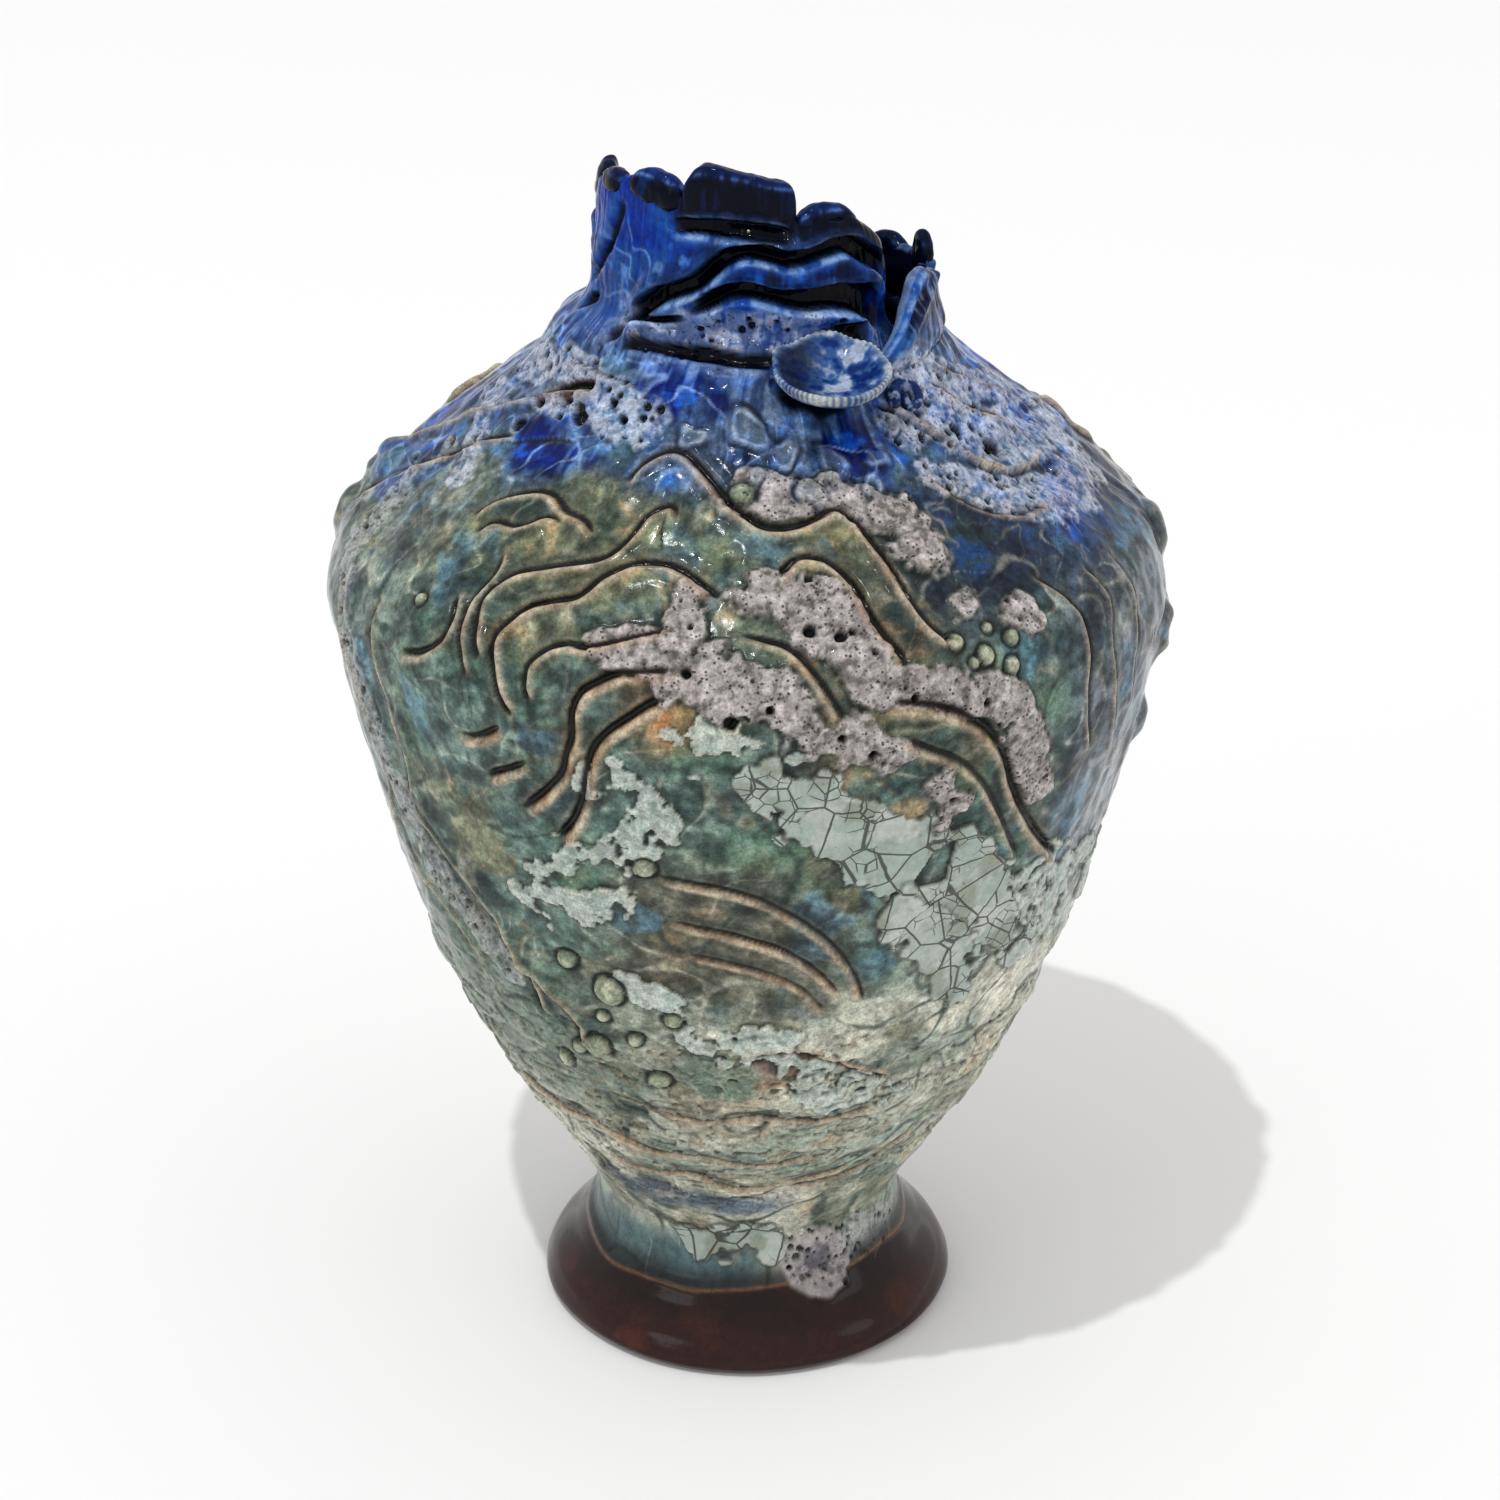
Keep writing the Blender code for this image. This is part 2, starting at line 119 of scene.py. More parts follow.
def table(values, x):
    """Smooth reading of a short (x, value) table with rising x."""
    xs = np.array([v[0] for v in values], float)
    ys = np.array([v[1] for v in values], float)
    slope = np.diff(ys) / np.diff(xs)
    m = np.zeros(len(xs))
    m[0], m[-1] = slope[0], slope[-1]
    inner = slope[:-1] * slope[1:]
    m[1:-1] = np.where(inner > 0, 2 * inner / (slope[:-1] + slope[1:] + 1e-12), 0.0)
    x = np.clip(x, xs[0], xs[-1])
    i = np.clip(np.searchsorted(xs, x) - 1, 0, len(xs) - 2)
    h = xs[i + 1] - xs[i]
    t = (x - xs[i]) / h
    a = (1 + 2 * t) * (1 - t) ** 2
    b = t * (1 - t) ** 2
    c = t * t * (3 - 2 * t)
    d = t * t * (t - 1)
    return a * ys[i] + b * h * m[i] + c * ys[i + 1] + d * h * m[i + 1]


def spline(points, step=0.6):
    """Dense smooth curve through rows of numbers (Catmull-Rom)."""
    p = np.array(points, float)
    if len(p) == 1:
        return p
    p = np.vstack([2 * p[0] - p[1], p, 2 * p[-1] - p[-2]])
    out = []
    for i in range(1, len(p) - 2):
        n = max(2, int(np.linalg.norm((p[i + 1] - p[i])[:2]) / step))
        t = np.linspace(0, 1, n, endpoint=False)[:, None]
        out.append(0.5 * (
            2 * p[i] + (p[i + 1] - p[i - 1]) * t
            + (2 * p[i - 1] - 5 * p[i] + 4 * p[i + 1] - p[i + 2]) * t ** 2
            + (3 * p[i] - p[i - 1] - 3 * p[i + 1] + p[i + 2]) * t ** 3))
    out.append(p[-2][None])
    return np.vstack(out)


# ---- the thrown body's surface --------------------------------------------------------------
BODY_NODES = ("pedestal_foot", "lower_wall", "belly_wall", "shoulder_wall")
SEAMS = [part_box(n)[0].z / MM for n in BODY_NODES[1:]]
SHOULDER_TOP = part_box("shoulder_wall")[1].z / MM


TONGUE = 4.5                 # height of the hidden tongues of the slip joints
RECESS_TOP = 16.0            # turned recess under the foot
RECESS_RADIUS = 52.0
HIDDEN_FLOORS = (7.0, 41.0)  # top of the recess and floor of the vase


def body_profile():
    """(height, outer radius) of the CAD body, read from its rings of vertices."""
    rings = {}
    for name in BODY_NODES:
        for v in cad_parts[name].data.vertices:
            key = round(v.co.z / MM, 1)
            rings[key] = max(rings.get(key, 0.0), math.hypot(v.co.x, v.co.y) / MM)
    kept = []
    for z, r in sorted(rings.items()):
        in_joint = any(seam + 0.5 < z < seam + TONGUE for seam in SEAMS)
        in_recess = 0.5 < z < RECESS_TOP and r < RECESS_RADIUS or z in HIDDEN_FLOORS
        on_inner_wall = kept and z - kept[-1][0] < 3.2 and r < kept[-1][1] + 2.5 and z > 20
        if in_joint or in_recess or on_inner_wall:
            continue
        kept.append((z, r))
    return kept


PROFILE = body_profile()


def body_radius(z):
    """Outer radius of the thrown body at a height."""
    return table(PROFILE, z)


def body_slope(z):
    """Change of radius with height."""
    return (body_radius(z + 1.0) - body_radius(z - 1.0)) / 2.0


def body_point(az, z):
    """Point on the thrown body's outer face."""
    a = np.radians(az)
    r = body_radius(z)
    return np.stack([r * np.sin(a), -r * np.cos(a), z], -1)


def body_normal(az, z):
    """Outward direction there."""
    a = np.radians(az)
    slope = body_slope(z)
    n = np.stack([np.sin(a), -np.cos(a), -slope], -1)
    return n / np.linalg.norm(n, axis=-1, keepdims=True)


def azimuth_columns(spacing, radius, back_ratio):
    """Azimuths round the pot, close together in front and wider apart behind."""
    step = math.degrees(spacing / radius)
    count_front = int(FRONT_SPAN / step)
    count_back = int((360.0 - FRONT_SPAN) / (step * back_ratio))
    ahead = -FRONT_SPAN / 2 + FRONT_SPAN * np.arange(count_front) / count_front
    behind = FRONT_SPAN / 2 + (360.0 - FRONT_SPAN) * np.arange(count_back) / count_back
    return np.concatenate([ahead, behind])


def profile_rows(low, high, spacing):
    """Heights between two seams, evenly spaced along the wall."""
    z = np.linspace(low, high, 2000)
    r = body_radius(z)
    length = np.concatenate([[0], np.cumsum(np.hypot(np.diff(z), np.diff(r)))])
    count = max(3, int(length[-1] / spacing))
    return np.interp(np.linspace(0, length[-1], count + 1), length, z)


class Skin:
    """Vertices of a surface with their place, displacement, colour and surface masks."""

    def __init__(self, az, z, point, normal):
        self.az = ((az + 180.0) % 360.0) - 180.0
        self.z = z
        self.p = point
        self.n = normal
        self.d = np.zeros(len(z))
        self.rgb = np.zeros((len(z), 3))
        self.dry = np.zeros(len(z))
        self.foam = np.zeros(len(z))
        self.crackle = np.zeros(len(z))

    def paint(self, colour, mask):
        colour = np.asarray(colour, float) / 255.0
        m = np.clip(mask, 0, 1)[:, None]
        self.rgb = self.rgb * (1 - m) + colour * m

    def spread(self, idx, values):
        """Values of some vertices as a mask over all of them."""
        mask = np.zeros(len(self.z))
        mask[idx] = values
        return mask

    def near(self, curve, reach):
        """Vertices near a curve with their distance, signed side and place along it."""
        low = curve.min(0) - reach
        high = curve.max(0) + reach
        idx = np.where(np.all((self.p > low) & (self.p < high), axis=1))[0]
        if len(idx) == 0:
            return idx, None, None, None
        p = self.p[idx].astype(np.float32)
        best = np.full(len(idx), 1e9, np.float32)
        at = np.zeros(len(idx), np.int32)
        c32 = curve.astype(np.float32)
        for k in range(len(curve)):
            d = ((p - c32[k]) ** 2).sum(1)
            closer = d < best
            best[closer] = d[closer]
            at[closer] = k
        dist = np.sqrt(best)
        keep = dist < reach
        idx, dist, at = idx[keep], dist[keep], at[keep]
        if len(curve) > 1:
            tangent = np.gradient(curve, axis=0)
            tangent /= np.linalg.norm(tangent, axis=1, keepdims=True) + 1e-9
            side = np.cross(self.n[idx], tangent[at])
            side /= np.linalg.norm(side, axis=1, keepdims=True) + 1e-9
            signed = ((self.p[idx] - curve[at]) * side).sum(1)
        else:
            signed = dist
        along = at / max(1, len(curve) - 1)
        return idx, dist, signed, along


def line_fade(along, length, taper):
    """1 along a line, easing to 0 over its two ends."""
    t = along * length
    return smoothstep(t, 0, taper) * smoothstep(length - t, 0, taper)


def curve_length(curve):
    """Length of a dense curve."""
    return float(np.linalg.norm(np.diff(curve, axis=0), axis=1).sum())


# ---- relief lines of the body ---------------------------------------------------------------
# each line: stations (azimuth, height), groove depth, lip height, lip side (1 below or left), warmth
LINES = (
    ([(-27, 276), (-24, 281), (-19, 284), (-15, 284), (-11, 282), (-7, 279), (-3, 275), (0, 273),
      (4, 271), (9, 271), (13, 272), (17, 273), (20, 271), (22, 268), (24, 262), (25, 256), (27, 249),
      (30, 245)], 1.9, 1.5, 1, 0.9),
    ([(-55, 262), (-52, 267), (-46, 271), (-41, 272), (-36, 270), (-31, 269), (-27, 266)], 1.4, 1.0, 1,
      0.8),
    ([(-52, 260), (-48, 264), (-43, 265), (-38, 268), (-34, 267)], 1.2, 0.9, 1, 0.8),
    ([(-38, 238), (-40, 245), (-41, 251), (-38, 257), (-33, 260), (-28, 262), (-24, 264), (-21, 268),
      (-19, 272), (-15, 274), (-12, 271)], 1.5, 1.1, 1, 0.5),
    ([(-31, 226), (-34, 232), (-36, 241), (-36, 247), (-33, 252), (-30, 254), (-26, 256), (-23, 260),
      (-19, 263), (-14, 264), (-10, 263), (-6, 260), (-3, 258)], 2.0, 1.3, 1, 1.0),
    ([(-29, 231), (-30, 236), (-30, 241), (-28, 245), (-25, 247), (-22, 247), (-16, 250), (-10, 253)],
      1.3, 0.9, 1, 0.5),
    ([(-8, 245), (-13, 244), (-17, 243), (-20, 240), (-22, 237), (-23, 232), (-23, 225), (-24, 219),
      (-25, 213), (-28, 206), (-32, 199)], 2.0, 0.9, -1, 1.0),
    ([(-8, 239), (-12, 237), (-15, 233), (-18, 228), (-20, 222), (-21, 215), (-22, 207), (-24, 199),
      (-27, 192)], 2.0, 1.0, -1, 1.0),
    ([(-37, 206), (-35, 209), (-32, 212), (-29, 216)], 1.7, 0.8, 1, 1.0),
    ([(-42, 217), (-38, 218), (-35, 221), (-33, 224)], 1.5, 0.8, 1, 0.8),
    ([(-54, 233), (-50, 234), (-47, 237), (-45, 241), (-45, 246), (-47, 251)], 1.5, 0.9, 1, 0.3),
    ([(-43, 262), (-42, 256), (-43, 248), (-41, 238), (-39, 232)], 1.0, 0.7, -1, 0.5),
    ([(-101, 246), (-99, 256), (-93, 265), (-87, 272), (-80, 278), (-69, 285), (-57, 291), (-46, 294)],
      3.4, 2.2, 1, 1.0),
    ([(-104, 236), (-100, 224), (-96, 212), (-92, 200)], 2.2, 1.6, 1, 0.4),
    ([(-90, 247), (-84, 258), (-77, 266), (-68, 274), (-60, 279)], 1.2, 0.9, 1, 0.6),
    ([(4, 261), (8, 265), (12, 265), (15, 263), (17, 259), (18, 254), (20, 248), (22, 243)], 2.0, 1.7, 1,
      0.9),
    ([(-2, 252), (2, 251), (6, 249), (9, 244), (11, 238), (13, 231)], 1.5, 1.2, 1, 0.2),
    ([(17, 236), (21, 235), (25, 233), (29, 229), (33, 222), (36, 213), (38, 204), (41, 194), (46, 182),
      (53, 170)], 2.2, 1.1, 1, 0.8),
    ([(19, 228), (23, 223), (28, 217), (32, 209), (35, 200), (38, 190), (42, 178)], 1.2, 0.8, 1, 0.4),
    ([(47, 255), (51, 247), (52, 238), (51, 226), (52, 214), (54, 203)], 1.2, 0.7, 1, 0.1),
    ([(58, 252), (59, 243), (57, 233), (58, 218), (60, 205), (61, 195)], 1.4, 0.8, 1, 0.1),
    ([(66, 250), (66, 238), (64, 222), (66, 206)], 0.9, 0.6, 1, 0.1),
    ([(-62, 240), (-60, 226), (-57, 212), (-55, 198), (-57, 184)], 1.2, 0.8, -1, 0.2),
    ([(-74, 240), (-70, 222), (-66, 204), (-64, 188), (-66, 172), (-62, 158), (-54, 148), (-46, 136)],
      2.0, 1.4, -1, 0.2),
    ([(-57, 184), (-52, 174), (-46, 164), (-41, 152), (-38, 140), (-37, 126)], 1.8, 1.2, -1, 0.2),
    ([(-14, 186), (-8, 184), (-2, 182), (3, 178), (8, 171), (13, 162), (17, 150), (19, 140)], 0.9, 0.7,
      1, 0.5),
    ([(-12, 171), (-6, 169), (0, 166), (6, 161), (11, 153), (15, 144)], 0.8, 0.6, 1, 0.6),
    ([(-10, 160), (-4, 158), (3, 154), (9, 147), (13, 138)], 0.6, 0.5, 1, 0.5),
    ([(-58, 92), (-46, 86), (-34, 84), (-22, 80), (-10, 81), (4, 77), (16, 80)], 0.6, 0.45, 1, 0.3),
    ([(-40, 70), (-28, 68), (-14, 70), (0, 66), (14, 69), (28, 72)], 0.5, 0.5, 1, 0.5),
    ([(-30, 103), (-20, 99), (-8, 97), (4, 99), (16, 96), (28, 100)], 0.45, 0.4, 1, 0.3),
    ([(10, 62), (22, 64), (34, 70), (46, 80)], 0.7, 0.6, 1, 0.2),
    ([(-2, 122), (6, 126), (13, 122), (20, 114), (28, 108)], 0.8, 0.5, -1, 0.9),
    ([(-44, 154), (-40, 146), (-34, 138), (-30, 128), (-31, 118)], 1.6, 1.4, -1, 0.3),
    ([(36, 292), (44, 286), (50, 280), (54, 274), (60, 270), (68, 268), (76, 268)], 0.6, 0.7, -1, 0.1),
    ([(40, 276), (44, 270), (50, 265), (57, 263), (63, 264)], 0.7, 0.6, 1, 0.1),
    ([(58, 292), (64, 286), (70, 281), (76, 277)], 1.3, 0.9, 1, 0.1),
    ([(66, 296), (74, 289), (82, 283), (92, 278)], 1.6, 1.2, 1, 0.1),
    ([(-66, 296), (-54, 297), (-42, 296.5), (-30, 297)], 0.7, 0.4, 1, 0.1),
    ([(100, 256), (112, 262), (126, 258), (140, 264), (156, 258), (170, 262), (184, 254)], 1.6, 1.2, 1,
      0.6),
    ([(104, 240), (118, 244), (134, 238), (150, 242), (168, 236), (186, 240), (204, 234)], 1.4, 1.1, 1,
      0.4),
    ([(110, 222), (128, 214), (142, 200), (150, 182), (154, 160)], 1.6, 1.1, 1, 0.4),
    ([(190, 226), (204, 216), (214, 200), (222, 182), (232, 168)], 1.6, 1.1, 1, 0.5),
    ([(196, 266), (210, 270), (224, 264), (238, 268), (250, 262)], 1.4, 1.1, 1, 0.7),
)


def carve_line(skin, place, stations, depth, lip, side, warmth):
    """Cut a groove with a raised lip, and break the glaze to warm clay along it; the groove and the hollow
    beside the lip are marked for painted shade, and the lip for a pale colour that is partly broken glaze and
    partly a painted highlight.
    """
    curve = place(*spline(stations, 0.35).T)
    length = curve_length(curve)
    idx, _, signed, along = skin.near(curve, 16.0)
    if len(idx) == 0:
        return
    breadth = 0.55 + 0.42 * depth
    s = signed * side / breadth
    fade = line_fade(along, length, 6.0)
    spot = curve[np.minimum((along * (len(curve) - 1)).astype(int), len(curve) - 1)]
    fade = fade * (0.78 + 0.22 * noise3(spot, 9.0, 5))
    groove = np.exp(-(s / 0.9) ** 2)
    rolled = np.exp(-((s + 1.9) / 1.1) ** 2)
    swell = np.exp(-((s + 4.8) / 3.4) ** 2)
    hollow = np.exp(-((s - 3.4) / 2.6) ** 2)
    skin.d[idx] += fade * (-1.15 * depth * groove + 1.35 * lip * rolled + lip * swell - 0.7 * lip * hollow)
    store = skin.lines
    broken = 0.5 + 0.5 * noise3(skin.p[idx], 5.0, 77)
    # bottom of the groove, kept for painted shade
    dark = np.exp(-(s / 0.85) ** 2) * min(1.0, depth / 1.2)
    store["dark"][idx] = np.maximum(store["dark"][idx], fade * dark)
    # pale lip: glaze breaking on the raised edge, together with a painted highlight
    pale = np.exp(-((s + 1.7) / 0.8) ** 2) * (0.45 + 0.55 * broken)
    store["pale"][idx] = np.maximum(store["pale"][idx], fade * pale)
    warm = np.exp(-((s + 0.6) / 1.5) ** 2) * (0.4 + 0.9 * broken) * warmth
    store["warm"][idx] = np.maximum(store["warm"][idx], fade * warm)
    # hollow beside the lip, kept for painted shade
    store["shade"][idx] = np.maximum(store["shade"][idx], fade * np.exp(-((s - 2.1) / 2.0) ** 2) * 0.8)


# ---- glaze zones ----------------------------------------------------------------------------
COBALT = (4, 22, 86)
BRIGHT_BLUE = (22, 84, 178)
INK = (5, 8, 22)
MID_BLUE = (58, 88, 134)
PALE_BLUE = (128, 150, 186)
LILAC = (196, 200, 214)
NAVY = (28, 40, 62)
SLATE = (92, 98, 108)
TEAL = (78, 102, 98)
DEEP_TEAL = (38, 66, 66)
GREEN = (62, 92, 72)
OLIVE = (110, 110, 84)
SAGE = (126, 138, 124)
OCHRE = (168, 134, 92)
RUST = (140, 74, 40)
BROWN = (96, 78, 60)
GROOVE_SHADE = (28, 14, 9)
FOOT = (40, 15, 10)
FOOT_WARM = (78, 34, 18)

# foam patches: stations (azimuth, height), width along the way
FOAM_BANDS = (
    ([(0, 277), (6, 276), (14, 275), (22, 274), (27, 271)], (7, 8, 8, 8, 9)),
    ([(27, 271), (30, 268), (31, 264)], (9, 10, 9.5)),
    ([(31, 264)], (9.5,)),
    ([(41, 248)], (8.5,)),
    ([(33, 252)], (6.5,)),
    ([(0, 258), (4, 260), (9, 257), (12, 252), (15, 246), (17, 241), (20, 239), (26, 236), (32, 232),
      (38, 222), (41, 208), (43, 200)], (7, 9, 11, 12, 11, 9, 8, 9, 9, 8, 7, 5)),
    ([(-20, 249), (-15, 248), (-8, 245), (-2, 242), (4, 238), (8, 231)], (7, 9, 11, 12, 12, 9)),
    ([(-9, 258), (-8, 253), (-9, 250)], (5, 7, 6)),
    ([(11, 227), (15, 226), (19, 222)], (8, 10, 6)),
    ([(26, 210), (27, 205), (27, 202)], (6, 8, 5)),
    ([(-60, 288), (-52, 289), (-42, 290), (-33, 290), (-26, 289)], (6, 8, 9, 8, 5)),
    ([(-92, 279), (-82, 279), (-72, 274), (-66, 268)], (5, 5, 5, 5)),
    ([(-76, 268), (-78, 260), (-77, 250), (-73, 238), (-68, 222), (-64, 206), (-60, 190), (-56, 172),
      (-51, 158), (-45, 148), (-41, 138)], (4, 5.5, 6, 6, 6, 6.5, 5.5, 5, 6, 5, 4)),
    ([(46, 286), (54, 283), (62, 279), (70, 275), (80, 270), (90, 266), (104, 268)],
      (9, 11, 12, 11, 9, 8, 7)),
    ([(52, 296), (62, 291), (72, 286), (84, 281), (96, 276)], (8, 8, 8, 7, 7)),
    ([(43, 274), (52, 269), (62, 264), (74, 261), (88, 260)], (6, 9, 10, 9, 7)),
    ([(-88, 288), (-74, 292), (-60, 296), (-48, 300)], (5, 6, 6, 5)),
    ([(22, 31), (30, 28), (36, 26)], (8, 10, 7)),
    ([(44, 33), (52, 30), (60, 30), (70, 32)], (6, 7, 6, 4)),
    ([(128, 240), (138, 232), (150, 236), (162, 228)], (10, 12, 11, 8)),
    ([(196, 248), (208, 240), (216, 228)], (9, 11, 8)),
    ([(150, 280), (170, 278), (190, 281)], (8, 9, 7)),
    ([(225, 216), (232, 200), (236, 180)], (7, 7, 5)),
)
PUMICE_WIDTH = 0.74
PUMICE_BANDS = 10            # the first bands are dry pumice; the others are bubbled pale glaze

# crackled plates: stations (azimuth, height), widths
CRACKLE_BANDS = (
    ([(3, 214), (8, 208), (14, 200), (21, 191), (29, 181), (36, 169), (43, 156), (48, 145)],
      (9, 12, 14, 14, 13, 12, 10, 7)),
    ([(22, 172), (28, 160), (33, 148), (36, 138)], (6, 10, 9, 6)),
    ([(-24, 37), (-14, 38), (-2, 38), (8, 36)], (5, 6.5, 6.5, 5)),
    ([(150, 200), (162, 190), (172, 176), (178, 160)], (12, 14, 13, 8)),
    ([(-130, 196), (-140, 184), (-146, 168)], (10, 12, 8)),
)
# broken mint chips: stations, widths
CHIP_BANDS = (
    ([(-7, 130), (3, 127), (10, 120)], (5, 7, 5)),
    ([(12, 111), (20, 104), (30, 100)], (6, 8, 6)),
    ([(-17, 148), (-12, 141), (-9, 134)], (4, 5, 4)),
    ([(-36, 172), (-30, 170), (-24, 173), (-19, 176)], (5, 7, 6, 4)),
    ([(-18, 214), (-12, 205), (-16, 196), (-20, 188)], (6, 7, 6, 5)),
    ([(-6, 226), (-2, 232), (3, 228)], (6, 7, 6)),
    ([(-28, 182), (-25, 190)], (4, 5)),
    ([(50, 168), (55, 158), (58, 146)], (7, 10, 8)),
    ([(43, 170), (48, 160), (50, 146)], (6, 8, 7)),
    ([(64, 162), (70, 154), (76, 144)], (5, 7, 6)),
    ([(118, 178), (128, 166), (140, 158)], (9, 10, 7)),
)


def band_mask(skin, stations, widths, edge=2.6, ragged=2.2, seed=3):
    """Soft mask of a band with a ragged edge."""
    rows = [(a, z, w) for (a, z), w in zip(stations, widths)]
    dense = spline(rows)
    curve = body_point(dense[:, 0], dense[:, 1])
    reach = max(widths) + 5.0
    idx, dist, _, along = skin.near(curve, reach)
    mask = np.zeros(len(skin.z))
    if len(idx) == 0:
        return mask
    at = np.minimum((along * (len(dense) - 1)).astype(int), len(dense) - 1)
    width = dense[at, 2]
    rag = noise3(skin.p[idx], 7.0, seed) * ragged + noise3(skin.p[idx], 2.4, seed + 1) * ragged * 0.5
    mask[idx] = smoothstep(width + rag - dist, -edge / 2, edge / 2)
    return mask


def streaks(skin, long, thin, seed):
    """Noise drawn out round the pot, as brushed glaze runs."""
    a = np.radians(skin.az)
    q = np.stack([np.sin(a) * 90.0 / long, np.cos(a) * 90.0 / long, skin.z / thin], 1)
    return noise3(q, 1.0, seed)


def marble(p, size, twist, seed):
    """1 along thin veins that follow the folds of a twisted noise, falling to 0 between them."""
    shift = np.stack([fbm(p, size * 2.4, 2, seed + 40 * k) for k in range(3)], 1) * twist
    return 1.0 - np.abs(noise3(p + shift, size, seed + 7))


def blurred(field, rows, cols, wrap):
    """Mean of a grid over a small window, closed round the pot if it wraps."""
    if wrap:
        across = sum(np.roll(field, k, 1) for k in range(-cols, cols + 1))
    else:
        padded = np.pad(field, ((0, 0), (cols, cols)), mode="edge")
        across = sum(padded[:, k:k + field.shape[1]] for k in range(2 * cols + 1))
    padded = np.pad(across, ((rows, rows), (0, 0)), mode="edge")
    down = sum(padded[k:k + len(field)] for k in range(2 * rows + 1))
    return down / ((2 * rows + 1) * (2 * cols + 1))


def pool_glaze_with_painted_shade_and_highlight(skin, shape, wrap, hollow_shade_colour, edge_colour, strength=1.0):
    """Darken the hollows and lighten the ridges of the relief: glaze pooling and breaking, with painted shade
    in the hollows and a painted highlight on the ridges.
    """
    grid = skin.d.reshape(shape)
    wide = max(1, round(3.2 / SPACING))
    fine = max(1, round(1.2 / SPACING))
    cavity = (blurred(grid, wide, wide, wrap) - grid).ravel()
    small = (blurred(grid, fine, fine, wrap) - grid).ravel()
    bare = 1 - 0.8 * np.clip(np.maximum(skin.foam, skin.crackle), 0, 1)
    # painted shade in the hollows of the relief, together with glaze pooled there
    skin.paint(hollow_shade_colour, smoothstep(cavity, 0.10, 0.9) * 0.8 * bare * strength)
    skin.paint(hollow_shade_colour, smoothstep(small, 0.05, 0.35) * 0.55 * bare * strength)
    # pale ridges: glaze breaking thin, together with a painted highlight
    pale = smoothstep(-cavity, 0.12, 0.8) * 0.45 + smoothstep(-small, 0.06, 0.35) * 0.35
    skin.paint(edge_colour, pale * bare * strength * (0.6 + 0.4 * noise3(skin.p, 4.0, 66)))


def runs(skin, thin, long, seed):
    """Noise drawn out down the pot, as glaze that has run."""
    a = np.radians(skin.az)
    q = np.stack([np.sin(a) * 90.0 / thin, np.cos(a) * 90.0 / thin, skin.z / long], 1)
    return noise3(q, 1.0, seed)


